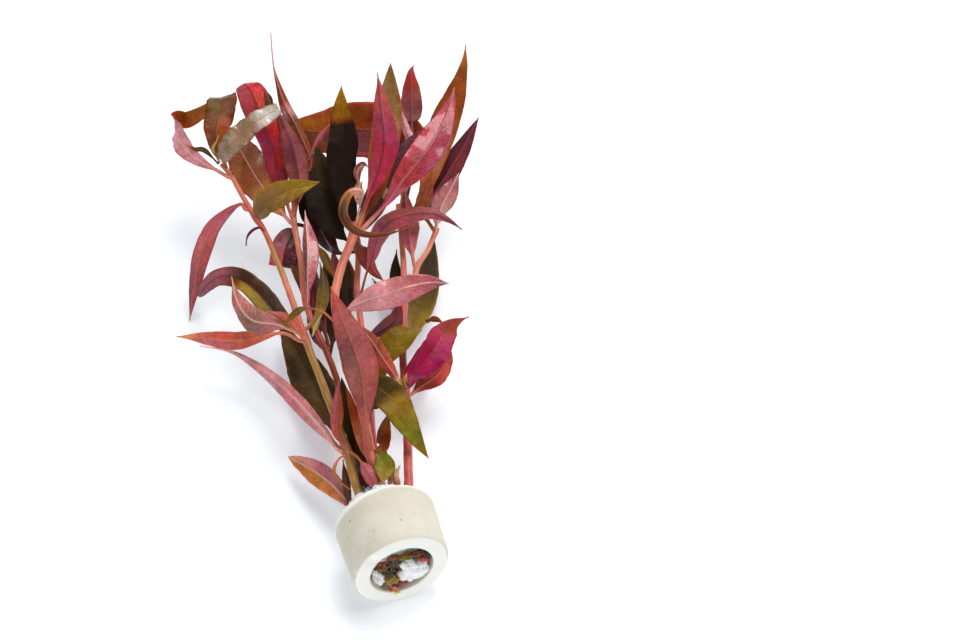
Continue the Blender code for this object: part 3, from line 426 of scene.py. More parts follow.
# How each leaf looks: colours of the shown side from foot to tip, or of its left and right half, of its ribs
# and of its margin, how strong the ribs show, how glossy it is, how far its margins curl up (+) or under (-),
# and how much they wave.
LOOKS = {
    "pot_left": dict(left=("coral", "amber", "amber"), right=("old_rose", "mauve", "dusty_pink", "amber"),
                     rib="blush", gloss=0.9, curl=-0.3, veins=0.7, foot="old_rose"),
    "a1_long": dict(face=("salmon", "shell_pink", "dusty_pink", "shell_pink", "shell_pink", "pale_grey_and_glare"),
                    rib="blush", edge="mauve", gloss=0.7, veins=0.35),
    "a1_narrow": dict(left=("rust", "old_rose", "dusty_pink"), right=("rust", "rust", "red_brown"),
                      rib="dusty_pink"),
    "a1_drooping": dict(face=("salmon", "tan", "dusty_pink", "old_rose"), rib="tan", edge="tan"),
    "a1_olive": dict(left=("dark_olive", "olive", "dark_olive", "olive"), right=("dark_olive", "dark_olive"),
                     rib="brown", edge="olive", gloss=0.4, veins=0.5),
    "a2_orange": dict(left=((0, "salmon"), (0.45, "coral"), (0.72, "dusty_pink"), (0.88, "salmon"),
                            (1, "amber")),
                      right=((0, "salmon"), (0.6, "coral"), (0.78, "salmon"), (0.9, "apricot"),
                             (1, "amber"))),
    "a2_curl": dict(face=("salmon", "dusty_pink", "grey_mauve", "dusty_pink", "mauve"), rib="cream",
                    edge="tan", gloss=0.5, veins=0.5),
    "a2_small": dict(face=("coral", "old_rose")),
    "a2_arch": dict(left=((0, "olive"), (0.45, "golden_olive"), (0.52, "brown"), (0.58, "mauve"),
                          (1, "maroon")),
                    right=((0, "dark_brown"), (0.5, "dark_brown"), (0.58, "mauve"), (1, "maroon")),
                    rib="black_brown", edge="olive", veins=0.5),
    "a2_back": dict(face=("stem_tan", "olive", "dark_olive"), rib="olive_tan"),
    "a3_arc": dict(left=("coral", "dusty_pink", "old_rose", "old_rose", "red_brown"),
                   right=("coral", "old_rose", "dusty_pink", "mauve", "maroon"), rib="shell_pink",
                   edge="maroon", gloss=0.4, veins=0.35),
    "a3_tan": dict(face=("grey_tan", "olive_tan", "olive_tan", "golden_olive", "golden_olive"), rib="olive",
                   edge="golden_olive", gloss=0.5, veins=0.3, foot=None),
    "a4_bent": dict(face=("salmon", "shell_pink", "shell_pink", "dusty_pink", "dusty_pink"), rib="blush",
                    edge="dusty_pink", gloss=0.45,
                    back=((0, "rust"), (0.5, "brown"), (0.64, "rust"), (0.86, "orange_brown"),
                          (0.95, "grey_tan"), (1, "pale_grey_and_glare"))),
    "a4_hanging": dict(face=((0, "amber"), (0.3, "brown"), (0.6, "brown"), (0.78, "olive"), (0.88, "olive"),
                             (1, "grey_tan")),
                       right=((0, "amber"), (0.5, "rust"), (0.75, "brown"), (0.9, "brown"), (1, "grey_tan")),
                       rib="olive", edge="brown", gloss=0.45, veins=0.5, foot="amber"),
    # The pale tip is a painted highlight: the glare on the wet tip.
    "a4_wet": dict(face=((0, "brown"), (0.2, "grey_tan"), (0.68, "grey_tan"), (0.78, "pale_grey_and_glare"), (1, "pale_grey_and_glare")),
                   rib="tan", edge="brown", gloss=0.8, wave=2.0, foot=None),
    # The left half's wine and maroon are painted shade: that narrow half lies in shadow.
    "b1_pink": dict(left=("wine", "maroon", "maroon", "old_rose"),
                    right=("old_rose", "dusty_pink", "old_rose"),
                    rib="blush", edge="old_rose", gloss=0.75, veins=0.8),
    "b1_under": dict(face=("dark_olive", "dark_brown"), rib="olive"),
    "b2_torn": dict(left=("black_brown", "maroon", "wine"), right=("black_brown", "dusty_pink", "coral"),
                    rib="wine", gloss=0.9, foot=None),
    # The strong pale ribs are partly the leaf's pale veins and partly a painted highlight, the glare along
    # the veins.
    "b2_broad": dict(face=("amber", "amber", "orange_brown", "orange_brown", "rust"), rib="blush",
                     edge="brown", gloss=1.0, veins=0.8, foot="bright_salmon"),
    "b2_crimson": dict(left=("crimson", "crimson", "crimson", "old_rose"),
                       right=("old_rose", "crimson", "scarlet", "scarlet"),
                       rib="wine", edge="crimson", gloss=0.5, veins=0.5),
    "b2_mauve": dict(left=("brown", "maroon", "mauve"), right=("mauve", "mauve", "maroon", "mauve"),
                     rib="wine", edge="brown"),
    "b3_spike": dict(face=((0, "rust"), (0.25, "red_brown"), (0.45, "brown"), (0.52, "shell_pink"),
                           (0.58, "rust"), (0.72, "red_brown"), (0.82, "shell_pink"), (1, "red_brown")),
                     rib="blush", edge="brown", gloss=0.55),
    "c1_great": dict(left=("salmon", "mauve", "grey_mauve", "mauve", "coral"),
                     right=("salmon", "mauve", "mauve", "mauve", "coral"), rib="amber",
                     edge="red_brown", gloss=0.25, veins=0.4),
    "c1_green": dict(face=("leaf_green", "leaf_green", "golden_olive"), rib="olive", edge="dark_olive",
                     foot="golden_olive"),
    "c1_brown": dict(face=("brown", "rust", "olive"), rib="tan"),
    "c2_thin": dict(face=("salmon", "salmon", "olive_tan", "olive", "brown"), rib="olive_tan",
                    edge="golden_olive"),
    "c2_pale": dict(face=("blush", "shell_pink", "shell_pink", "dusty_pink", "old_rose", "maroon"),
                    rib="blush", edge="dusty_pink", gloss=0.6, veins=0.5),
    "c3_upright": dict(left=("salmon", "old_rose", "crimson", "old_rose", "coral"),
                       right=("salmon", "crimson", "crimson", "old_rose", "coral"),
                       rib="wine", edge="crimson", veins=0.55),
    "c3_behind": dict(face=("brown", "red_brown", "tan", "olive_tan", "olive"), rib="rust", edge="rust"),
    "c3_glossy": dict(face=("salmon", "crimson", "crimson", "crimson", "crimson", "old_rose"),
                      rib="shell_pink", edge="crimson", gloss=0.9),
    "c3_hook": dict(face=((0, "blush"), (0.24, "blush"), (0.32, "tan"), (0.44, "dark_brown"), (0.66, "brown"),
                          (0.78, "dark_brown"), (1, "rust")), rib="brown", edge="amber", gloss=0.5,
                    foot="bright_salmon"),
    "d1_ribbon": dict(face=((0, "golden_olive"), (0.8, "golden_olive"), (1, "olive")),
                      rib="leaf_green", foot=None),
    "d1_folded": dict(face=((0, "black_olive"), (0.3, "dark_olive"), (0.44, "dark_olive"), (0.5, "olive"),
                            (0.56, "golden_olive"), (0.8, "leaf_green"), (1, "golden_olive")),
                      rib="golden_olive", edge="olive", gloss=0.35, foot=None),
    "d2_arch": dict(face=("tan", "old_rose", "mauve", "old_rose", "mauve", "maroon"), rib="wine",
                    edge="dusty_pink", gloss=0.35, foot="rust"),
    "d2_under": dict(face=("dark_olive", "dark_brown"), rib="olive"),
    # d3_dark's near-black is partly painted shade, deep in the bunch.
    "d3_dark": dict(face=("black_olive", "black_brown", "dark_olive"), rib="dark_olive", gloss=0.2, veins=0.2,
                    foot=None),
    # Painted shade and light: the black up to three quarters of the length is the shade of a leaf behind it,
    # and the olive tip is light shining through the leaf.
    "d3_black": dict(face=((0, "black_brown"), (0.5, "black_brown"), (0.75, "black_brown"), (0.775, "brown"),
                           (0.81, "amber_olive"), (1, "golden_olive")), rib="dark_brown", edge="black_olive",
                     gloss=0.25, veins=0.25, foot=None),
    "e1_magenta": dict(face=((0, "magenta"), (0.5, "magenta"), (0.62, "crimson"), (0.68, "red_brown"),
                             (1, "rust")), rib="crimson", edge="magenta", gloss=0.5, veins=0.5, foot=None),
    "e1_red": dict(face=("coral", "red_brown", "coral", "rust"), rib="salmon", edge="red_brown", gloss=0.4),
    "e1_narrow": dict(face=("salmon", "coral", "red_brown", "old_rose"), rib="blush"),
    "e1_under": dict(face=("dark_olive", "olive"), rib="olive"),
    "e2_olive": dict(face=("golden_olive", "golden_olive", "olive", "dark_olive", "black_olive"),
                     rib="olive", edge="golden_olive"),
    "e3_maroon": dict(face=("maroon", "wine"), rib="maroon"),
    "e3_under": dict(face=("dark_olive", "dark_brown"), rib="olive"),
    "e4_red": dict(face=((0, "mauve"), (0.63, "grey_mauve"), (0.76, "mauve"), (0.84, "red_brown"),
                         (1, "scarlet")),
                   rib="old_rose", edge="red_brown", gloss=0.45, veins=0.5),
    "e4_narrow": dict(face=("rust", "coral", "shell_pink", "dusty_pink"), rib="blush", gloss=0.9),
    "e4_tall": dict(face=("brown", "rust", "orange_brown", "rust", "orange_brown"), rib="rust", edge="brown",
                    gloss=0.35, veins=0.4),
    "e4_purple": dict(left=("wine", "black_wine", "wine", "wine"), right=("wine", "maroon", "maroon", "wine"),
                      rib="mauve", edge="wine", gloss=0.25),
    # The left half's wine and maroon are painted shade on the lower half of this leaf; the right half runs
    # from wine at the foot to rust and amber.
    "e4_wide": dict(right=((0, "wine"), (0.45, "red_brown"), (0.7, "rust"), (0.9, "orange_brown"),
                           (1, "amber")),
                    left=((0, "wine"), (0.5, "wine"), (0.75, "maroon"), (1, "brown")),
                    rib="maroon", edge="coral", gloss=0.3),
    "s1_pink": dict(face=("salmon", "dusty_pink", "old_rose", "maroon")),
    "s2_pink": dict(face=("shell_pink", "shell_pink", "dusty_pink", "maroon"), rib="blush", edge="maroon",
                    gloss=1.0, veins=0.8),
    "s2_brown": dict(face=("orange_brown", "rust", "orange_brown"), rib="tan"),
    "c3_wine": dict(face=("wine", "black_wine", "wine", "wine"), rib="maroon", gloss=0.5, foot=None),
    "d3_wine": dict(face=("wine", "black_wine", "black_wine", "wine"), rib="maroon", gloss=0.6, foot=None),
    "d3_maroon": dict(face=("maroon", "red_brown", "maroon"), rib="coral", foot="maroon"),
    "b2_brown": dict(face=("olive", "brown", "dark_brown"), rib="olive_tan", edge="rust", foot=None),
    "b1_maroon": dict(face=("maroon", "wine", "maroon"), rib="old_rose", foot="maroon"),
    "b1_wine": dict(face=("brown", "maroon", "maroon", "dark_brown"), rib="wine", foot=None),
    # The near-black of b1_shade, b1_dark, b2_shade, c2_dark, e3_dark and d2_green below is partly painted
    # shade, in the gaps between the stems.
    "b1_shade": dict(face=("dark_olive", "black_olive", "dark_olive"), rib="dark_brown", gloss=0.2,
                     foot=None),
    "b1_dark": dict(face=("dark_olive", "dark_olive", "dark_brown"), rib="black_olive", gloss=0.2, foot=None),
    "b2_shade": dict(face=("dark_brown", "black_brown", "dark_olive"), rib="dark_brown", gloss=0.2,
                     foot=None),
    "c1_rust": dict(face=("tan", "salmon", "rust", "tan"), rib="coral", foot="tan"),
    "c2_dark": dict(face=("dark_brown", "black_olive", "dark_olive"), rib="dark_brown", gloss=0.2, foot=None),
    "e3_dark": dict(face=("dark_brown", "black_brown", "dark_olive"), rib="dark_brown", gloss=0.2, foot=None),
    "gold_sprout": dict(face=("olive_tan", "golden_olive", "olive"), rib="cream", foot=None),
    "sheath_brown": dict(face=("dark_brown", "dark_brown", "maroon"), rib="brown", foot=None),
    "brown_petiole": dict(face=("olive_tan", "brown", "brown"), rib="tan", foot=None),
    "dark_petiole": dict(face=("brown", "dark_brown", "dark_brown"), rib="brown", gloss=0.2, foot=None),
    "d2_green": dict(face=("black_olive", "black_olive", "dark_olive"), rib="dark_brown", gloss=0.2,
                     foot=None),
    "d2_brown": dict(face=("dark_brown", "brown", "rust"), rib="tan", foot=None),
    "d2_wine": dict(face=("wine", "maroon", "wine"), rib="maroon", foot=None),
    "olive_ribbon": dict(face=("brown", "olive", "rust"), rib="olive_tan", foot=None),
    "sprout_twisted": dict(face=("olive", "dark_olive", "maroon"), rib="golden_olive", foot=None),
    "sprout_yellow": dict(face=("amber", "golden_olive", "brown"), rib="cream", foot=None),
    "crimson_tip": dict(face=("brown", "dark_brown", "red_brown"), rib="tan", foot=None),
    "crimson_back": dict(face=("olive", "brown", "olive"), rib="olive_tan", foot=None),
    "strip_pink": dict(face=("maroon", "old_rose", "red_brown"), rib="salmon", curl=2.0, foot=None),
    "bit_brown": dict(face=("brown", "rust"), rib="tan", foot=None),
    "hook_maroon": dict(face=("maroon", "wine"), rib="maroon", foot=None),
    "scrap_purple": dict(face=("black_wine", "wine", "wine"), rib="wine", foot=None),
    "scrap_pink": dict(face=("dusty_pink", "dusty_pink", "cream"), rib="tan", foot=None),
    "arc_petiole": dict(face=("salmon", "tan", "brown"), rib="apricot", foot=None),
    "bract_left": dict(face=("amber", "cream"), rib="cream", foot=None),
    "bract_right": dict(face=("golden_olive", "amber"), rib="cream", foot=None),
    "bud_grey": dict(face=("dusty_pink", "pale_grey_and_glare", "shell_pink"), rib="blush", gloss=0.9, foot=None),
    "bud_curl": dict(face=("rust", "red_brown", "maroon"), rib="blush", gloss=0.8, foot=None),
    "bud_amber": dict(face=("amber", "golden_olive"), rib="cream", foot=None),
    "bud_beige": dict(face=("olive_tan", "cream"), rib="cream", foot=None),
}
USUAL_LOOK = dict(face=("mauve", "mauve"), left=None, right=None, rib="salmon", edge=None, back=None,
                  gloss=0.35, veins=0.4, curl=0.0, wave=1.0, foot="salmon")
# The side that isn't shown, where a leaf's look doesn't name it.
HIDDEN_UPPER = ("brown", "olive", "rust")
HIDDEN_UNDER = ("old_rose", "mauve", "maroon")

# Colours of each stem from foot to tip, and of its cut end.
STEM_LOOKS = {
    "stem_a": ((0, "olive_tan"), (0.2, "stem_tan"), (0.5, "stem_tan"), (0.54, "warm_pink"), (0.66, "salmon"),
               (0.73, "stem_tan"), (0.82, "coral"), (0.88, "warm_pink"), (1, "salmon")),
    "stem_b": ((0, "olive_tan"), (0.25, "rust"), (0.55, "red_brown"), (0.64, "warm_pink"), (0.8, "salmon"),
               (1, "salmon")),
    "stem_c": ("olive_tan", "rust", "warm_pink", "salmon", "salmon", "salmon", "warm_pink"),
    "stem_d": ("tan", "coral", "warm_pink", "warm_pink", "warm_pink", "salmon", "old_rose"),
    "stem_e": ("tan", "warm_pink", "warm_pink", "coral", "red_brown", "warm_pink", "salmon", "salmon"),
    "side_shoot": ("bright_salmon", "bright_salmon"),
}
CUT_ENDS = {"stem_a": "olive", "stem_b": "brown", "stem_c": "leaf_green", "stem_d": "rust", "stem_e": "coral",
            "side_shoot": "salmon"}


def linear(hex_colour):
    """An sRGB hex colour as linear red, green and blue."""
    s = np.array([int(hex_colour[k:k + 2], 16) for k in (1, 3, 5)]) / 255
    return np.where(s <= 0.04045, s / 12.92, ((s + 0.055) / 1.055) ** 2.4)


def ramp(stops, t):
    """Pigments along a piece, blended between stops: names evenly spaced, or pairs of place and name."""
    if isinstance(stops[0], str):
        stops = list(zip(np.linspace(0, 1, len(stops)), stops))
    places = [place for place, _ in stops]
    colours = np.array([linear(PIGMENTS[name]) for _, name in stops])
    return np.stack([np.interp(t, places, colours[:, k]) for k in range(3)], axis=-1)


def unit(vectors):
    return vectors / np.linalg.norm(vectors, axis=-1, keepdims=True)


def smoothstep(low, high, x):
    s = np.clip((x - low) / (high - low), 0, 1)
    return s * s * (3 - 2 * s)


def smooth_path(points, count):
    """The given points joined by a Catmull-Rom curve and read at evenly spaced places along it."""
    p = np.asarray(points, float)
    padded = np.vstack([2 * p[0] - p[1], p, 2 * p[-1] - p[-2]])
    span = np.arange(len(p) - 1)
    t = np.linspace(0, 1, 24, endpoint=False)[None, :, None]
    a, b, c, d = (padded[span + k][:, None, :] for k in range(4))
    dense = 0.5 * (2 * b + (c - a) * t + (2 * a - 5 * b + 4 * c - d) * t**2 + (3 * b - a - 3 * c + d) * t**3)
    dense = np.vstack([dense.reshape(-1, 3), p[-1:]])
    along = np.concatenate([[0], np.cumsum(np.linalg.norm(np.diff(dense, axis=0), axis=1))])
    at = np.linspace(0, along[-1], count)
    return np.stack([np.interp(at, along, dense[:, k]) for k in range(3)], axis=1)


def path_length(points):
    return np.linalg.norm(np.diff(smooth_path(points, 60), axis=0), axis=1).sum()


def stem_radius(name, route):
    """The radius along a stem: tapered from foot to tip, and thicker at each node."""
    _, foot, tip = STEMS[name]
    radius = np.linspace(foot, tip, len(route))
    for node in NODES[name]:
        radius = radius * (1 + NODE_SWELLING * np.exp(-(((route[:, 1] - node) / NODE_REACH) ** 2)))
    return radius


def stem_at(name, y):
    """The middle of a stem, its direction and its radius at a place along Y."""
    route = smooth_path(STEMS[name][0], 200)
    k = int(np.argmin(abs(route[:, 1] - y)))
    k = min(max(k, 1), len(route) - 2)
    return route[k], unit(route[k + 1] - route[k - 1]), stem_radius(name, route)[k]


def leaf_points(stem, node, points):
    """A leaf's points with its foot inside the stem, which it leaves through the skin on its way."""
    middle, along, radius = stem_at(stem, node)
    towards = unit(np.asarray(points[0], float) - middle)
    outward = unit(towards - towards.dot(along) * along)
    foot = middle + outward * radius * 0.3
    knee = middle + outward * radius * 0.8 + towards * 1.3
    return [foot, knee, *points]


def facing_along(turns, t):
    """The direction in which the shown side looks, blended between the given places."""
    places = [place for place, _ in turns]
    directions = unit(np.array([direction for _, direction in turns], float))
    return unit(np.stack([np.interp(t, places, directions[:, k]) for k in range(3)], axis=-1))


def blade_half_width(t, width, form):
    """Half the width along a lance-shaped leaf: a narrow petiole, a rise to the widest place and a fall to
    the tip, each half of them a power of a sine, and never narrower than the petiole."""
    along = np.clip((t - form["petiole"]) / (1 - form["petiole"]), 0, 1)
    peak = form["peak"]
    sine = np.sin(np.pi * np.where(along < peak, 0.5 * along / peak, 0.5 + 0.5 * (along - peak) / (1 - peak)))
    sine = np.clip(sine, 0, 1)
    blade = np.where(along < peak, sine ** form["base"],
                     form["blunt"] + (1 - form["blunt"]) * sine ** form["sharp"]) * width / 2
    stalk = form["stalk"] / 2 + (TIP_WIDTH - form["stalk"]) / 2 * t
    return np.maximum(blade, stalk)


def closed_skin(rings, ends=True):
    """Faces over rings of points: four-sided between one ring and the next, and strips across both end rings.

    Without ends, the last ring joins the first. The faces are turned outwards by the sign of the volume.
    """
    count, size, _ = rings.shape
    row = np.arange(count - 1 if ends else count)[:, None]
    k = np.arange(size)[None, :]
    here, there = row * size, (row + 1) % count * size
    following = (k + 1) % size
    faces = np.stack([here + k, here + following, there + following, there + k], axis=-1).reshape(-1, 4)
    if ends:
        j = np.arange(size // 2 - 1)
        cap = np.stack([j, size - 1 - j, size - 2 - j, j + 1], axis=-1)
        faces = np.vstack([faces, cap, cap[:, ::-1] + (count - 1) * size])
    points = rings.reshape(-1, 3)
    a, b, c, d = (points[faces[:, m]] for m in range(4))
    volume = (np.cross(b - a, c - a) * a).sum() + (np.cross(c - a, d - a) * a).sum()
    return points, faces if volume > 0 else faces[:, ::-1]


def joined(skins):
    """Several skins as one: their points, faces and per-point values, with the faces renumbered."""
    start = np.cumsum([0] + [len(points) for points, *_ in skins[:-1]])
    points = np.vstack([skin[0] for skin in skins])
    faces = np.vstack([skin[1] + offset for skin, offset in zip(skins, start)])
    values = [np.concatenate([skin[k] for skin in skins]) for k in range(2, len(skins[0]))]
    return points, faces, *values


def add_piece(name, points, faces, material, values, slot, nodes=()):
    """A mesh piece of the bunch, with its named values per point, that rides on the root."""
    mesh = bpy.data.meshes.new(name)
    mesh.vertices.add(len(points))
    mesh.vertices.foreach_set("co", ((points + ORIGIN) * MM).astype(np.float32).ravel())
    mesh.loops.add(faces.size)
    mesh.loops.foreach_set("vertex_index", faces.astype(np.int32).ravel())
    mesh.polygons.add(len(faces))
    mesh.polygons.foreach_set("loop_start", np.arange(0, faces.size, 4, dtype=np.int32))
    mesh.update(calc_edges=True)
    mesh.validate()
    mesh.shade_smooth()
    for key, value in values.items():
        width = value.shape[-1]
        kind, field = ("FLOAT_COLOR", "color") if width == 4 else ("FLOAT_VECTOR", "vector")
        mesh.attributes.new(key, kind, "POINT").data.foreach_set(field, value.astype(np.float32).ravel())
    mesh.materials.append(material)
    piece = bpy.data.objects.new(name, mesh)
    bpy.context.scene.collection.objects.link(piece)
    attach(piece, "root")
    if nodes:
        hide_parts(*nodes)
    return piece


RIPPLE_TERMS = 9
RIPPLE_RATES = (0.5, 3.0)


def ripple(a, b, seed):
    """A smooth uneven value over two coordinates, mostly between -1 and 1: a sum of sines at random."""
    draw = np.random.default_rng(seed)
    total = 0
    for _ in range(RIPPLE_TERMS):
        turn, phase = draw.uniform(0, 2 * np.pi, 2)
        rate = draw.uniform(*RIPPLE_RATES)
        total = total + np.sin(rate * (a * math.cos(turn) + b * math.sin(turn)) + phase)
    return total / math.sqrt(RIPPLE_TERMS)


# Leaves.
SIDE_VEIN_SPACING = 2.3
SIDE_VEIN_RISE = 1.3
SIDE_VEIN_BEND = 0.05
QUILT_DEPTH = 0.06
COLUMNS = 23
ROWS_PER_MM = 1.9


def side_vein_phase(across, along):
    """Counts the side veins, which leave the midrib in turn on either side and bend towards the tip."""
    x = abs(across)
    return (along - SIDE_VEIN_RISE * x - SIDE_VEIN_BEND * x**2) / SIDE_VEIN_SPACING + 0.25 * np.sign(across)


def leaf_skin(name, points, width, side, near_foot, near_tip, seed):
    """A leaf as a closed skin.

    A row runs across the blade from margin to margin, and the rows follow the midrib. The two halves rise
    from the midrib at the fold angle, which grows or shrinks outwards by the curl; the margins wave, and the
    blade bulges between the side veins. Two such sheets, the upper side's and the underside's, part by the
    leaf's thickness, with the midrib standing out underneath, and meet at the margins.
    """
    look = {**USUAL_LOOK, **LOOKS.get(name, {})}
    form = {**USUAL_FORM, **FORMS.get(name, {})}
    draw = np.random.default_rng(seed)
    length = path_length(points)
    rows = int(min(140, max(26, length * ROWS_PER_MM)))
    path = smooth_path(points, rows)
    t = np.linspace(0, 1, rows)[:, None]
    tangent = unit(np.gradient(path, axis=0))
    facing = side * facing_along(form["turns"] or ((0, near_foot), (1, near_tip)), t[:, 0])
    normal = unit(facing - (facing * tangent).sum(axis=1, keepdims=True) * tangent)
    across = np.cross(normal, tangent)

    w = np.linspace(-1, 1, COLUMNS)[None, :]
    u = np.sign(w) * abs(w) ** 1.35
    reach = abs(u)
    # Seen with the tip up, the left half of the shown side is where across and the side have the same sign.
    is_left = u * side > 0
    half = blade_half_width(t, width, form)
    blade = smoothstep(0.8, 2.0, half)
    uneven = ripple(t * length * 0.35, 3.0 * is_left, 300 + seed) * 0.5 + ripple(
        t * length * 0.9, 5.0 * is_left, 500 + seed) * 0.5
    half = half * np.where(is_left, form["left"], form["right"]) * (1 + form["ragged"] * blade * uneven)
    curl = look["curl"] * blade + 0.25 * np.sin(2 * np.pi * (1.3 * t + draw.random())) * blade
    middle_angle = math.radians(form["fold"]) + curl * reach / 2
    spread = half * reach * np.sinc(curl * reach / (2 * np.pi))
    out = np.sign(u) * spread * np.cos(middle_angle)
    rise = spread * np.sin(middle_angle)
    waves = draw.uniform(2.2, 4.4, 2)[(u > 0).astype(int)]
    phase = draw.uniform(0, 1, 2)[(u > 0).astype(int)]
    rise = rise + look["wave"] * 0.1 * half * blade * reach**2 * (
        np.sin(2 * np.pi * (waves * t + phase)) + 0.4 * np.sin(2 * np.pi * (2.7 * waves * t + 2 * phase))
    )
    x = u * half
    veins = side_vein_phase(x, t * length)
    rise = rise + QUILT_DEPTH * blade * (1 - reach**4) * abs(np.sin(np.pi * veins))
    rise = rise + 0.12 * blade * ripple(x * 0.5, t * length * 0.35, 700 + seed) * reach
    sheet = path[:, None, :] + out[..., None] * across[:, None, :] + rise[..., None] * normal[:, None, :]

    slim = min(1.0, form["stalk"] / USUAL_FORM["stalk"])
    rib = slim * (0.4 * (1 - t) ** 1.3 + 0.07) * np.exp(-((x / (0.22 + 0.3 * (1 - t))) ** 2))
    thin = LEAF_THICKNESS / 2 * (1 - 0.75 * reach**8) + 0 * t
    stalk = 1 - smoothstep(0.6, 1.5, half)
    round_side = np.sqrt(np.clip(1 - reach**2, 0.01, 1)) * np.clip(half / 0.6, 0.4, 1) * slim
    groove = 0.03 * np.exp(-((x / 0.35) ** 2))
    upper = (1 - stalk) * (thin - groove) + stalk * (0.08 + 0.3 * (1 - t)) * round_side
    under = (1 - stalk) * (thin + rib) + stalk * (0.08 + 0.45 * (1 - t)) * round_side
    top = sheet + upper[..., None] * normal[:, None, :]
    bottom = sheet - under[..., None] * normal[:, None, :]
    rings = np.concatenate([top, bottom[:, ::-1]], axis=1)
    rings[..., 2] = np.maximum(rings[..., 2], 0.02)
    points, faces = closed_skin(rings)

    # Colours: the shown side's own pigments, and the plain ones of the other side.
    hidden = look["back"] or (HIDDEN_UNDER if side == UPPER else HIDDEN_UPPER)
    left, right = (ramp(look[key] or look["face"], t[:, 0])[:, None, :] for key in ("left", "right"))
    on_left = np.broadcast_to(is_left, x.shape)[..., None]
    shown_tint = np.where(on_left, left, right)
    if look["edge"]:
        near_edge = smoothstep(0.72, 1.0, reach + 0 * t)[..., None] * 0.6
        shown_tint = shown_tint * (1 - near_edge) + linear(PIGMENTS[look["edge"]]) * near_edge
    hidden_tint = ramp(hidden, t[:, 0])[:, None, :] + 0 * shown_tint
    tints, ribs = [], []
    for tint, shown in ((shown_tint, True), (hidden_tint, False)):
        if look["foot"]:
            near_stem = smoothstep(0.14, 0.03, t)[..., None] * 0.85
            tint = tint * (1 - near_stem) + linear(PIGMENTS[look["foot"]]) * near_stem
        tints.append(np.concatenate([tint, np.full(tint.shape[:2] + (1,), look["gloss"])], axis=-1))
        rib_colour = linear(PIGMENTS[look["rib"]]) if shown else ramp(hidden, np.array([0.5]))[0] * 1.3
        strength = look["veins"] if shown else 0.3
        ribs.append(np.broadcast_to([*rib_colour, strength], tint.shape[:2] + (4,)))
    over, below = (0, 1) if side == UPPER else (1, 0)
    tint = np.concatenate([tints[over], tints[below][:, ::-1]], axis=1).reshape(-1, 4)
    ribs = np.concatenate([ribs[over], ribs[below][:, ::-1]], axis=1).reshape(-1, 4)
    place = np.stack([x + 0 * t, t * length + 0 * x, 0 * x + seed], axis=-1)
    place = np.concatenate([place, place[:, ::-1]], axis=1).reshape(-1, 3)
    return points, faces, tint, ribs, place


# Stems.
STEM_SIDES = 20
STEM_ROWS_PER_MM = 1.5


def frames_along(path):
    """Two directions square to a path at each of its points: one level, the other upwards."""
    tangent = unit(np.gradient(path, axis=0))
    level = unit(np.cross(tangent, [0, 0, 1]))
    return level, np.cross(level, tangent)


def stem_skin(name, seed):
    """A stem as a closed tube: it swells at the nodes and is grooved along, and its ends are domed."""
    draw = np.random.default_rng(seed)
    route = STEMS[name][0]
    length = path_length(route)
    path = smooth_path(route, int(length * STEM_ROWS_PER_MM))
    radius = stem_radius(name, path)
    level, up = frames_along(path)
    # Each end closes with three smaller rings.
    shrink = np.array([0.0, 0.55, 0.9])
    rows = np.concatenate([[0, 0, 0], np.arange(len(path)), [len(path) - 1] * 3])
    scale = np.concatenate([shrink + 0.05, np.ones(len(path)), shrink[::-1] * 0.9 + 0.05])
    angle = np.linspace(0, 2 * np.pi, STEM_SIDES, endpoint=False)[None, :]
    along = np.linspace(0, length, len(path))[rows][:, None]
    grooves = 1 + 0.045 * np.cos(4 * angle + 0.02 * along) + 0.02 * np.cos(9 * angle + draw.uniform(0, 6))
    uneven = 1 + 0.03 * np.sin(along / 2.3 + 2 * np.cos(angle)) + 0.02 * np.sin(along / 0.9 + angle)
    # The cut end is frayed: it flares and its wall breaks up.
    frayed = smoothstep(3.5, 0.3, along) * (0.18 + 0.16 * ripple(angle * 2, along * 2, 40 + seed))
    r = (radius[rows] * scale)[:, None] * (grooves * uneven + frayed)
    rings = path[rows][:, None, :] + (r * np.cos(angle))[..., None] * level[rows][:, None, :]
    rings = rings + (r * np.sin(angle))[..., None] * up[rows][:, None, :]
    points, faces = closed_skin(rings)
    t = along / length
    tint = ramp(STEM_LOOKS[name], t)
    # A node is darker and redder, and the cut end has a colour of its own.
    for node in NODES[name]:
        near = np.exp(-(((path[rows][:, 1] - node) / 2.2) ** 2))[:, None, None] * 0.4
        tint = tint * (1 - near) + linear(PIGMENTS["old_rose"]) * near
    cut = smoothstep(3.0, 0.5, along)[..., None]
    tint = tint * (1 - cut) + linear(PIGMENTS[CUT_ENDS[name]]) * cut
    tint = np.broadcast_to(tint, rings.shape)
    tint = np.concatenate([tint, np.full(tint.shape[:2] + (1,), 0.45)], axis=-1).reshape(-1, 4)
    place = np.stack([angle * radius[rows][:, None], along + 0 * angle, 0 * angle + 0 * along], axis=-1)
    return points, faces, tint, place.reshape(-1, 3)


# Pot and wool.
POT_COLUMNS = 216


def lay_down(points):
    """Puts a turned shape where the pot lies: its slanted cut and climbing axis by shears, then its turn."""
    x, y, z = points[..., 0], points[..., 1], points[..., 2]
    y = y + x * math.tan(POT_CUT) * (1 - y / POT_LENGTH)
    z = z + y / POT_LENGTH * POT_FLARE + POT_AXIS_HEIGHT
    cos, sin = math.cos(POT_TURN), math.sin(POT_TURN)
    return np.stack([x * cos - y * sin, x * sin + y * cos, z], axis=-1)


def rounded_corner(r, y, size, start, steps=7):
    """The points of a quarter round in a profile: its middle is at (r, y), and start is its first angle."""
    angle = start + np.pi / 2 * np.linspace(0, 1, steps)
    return np.stack([r + size * np.cos(angle), y + size * np.sin(angle)], axis=-1)


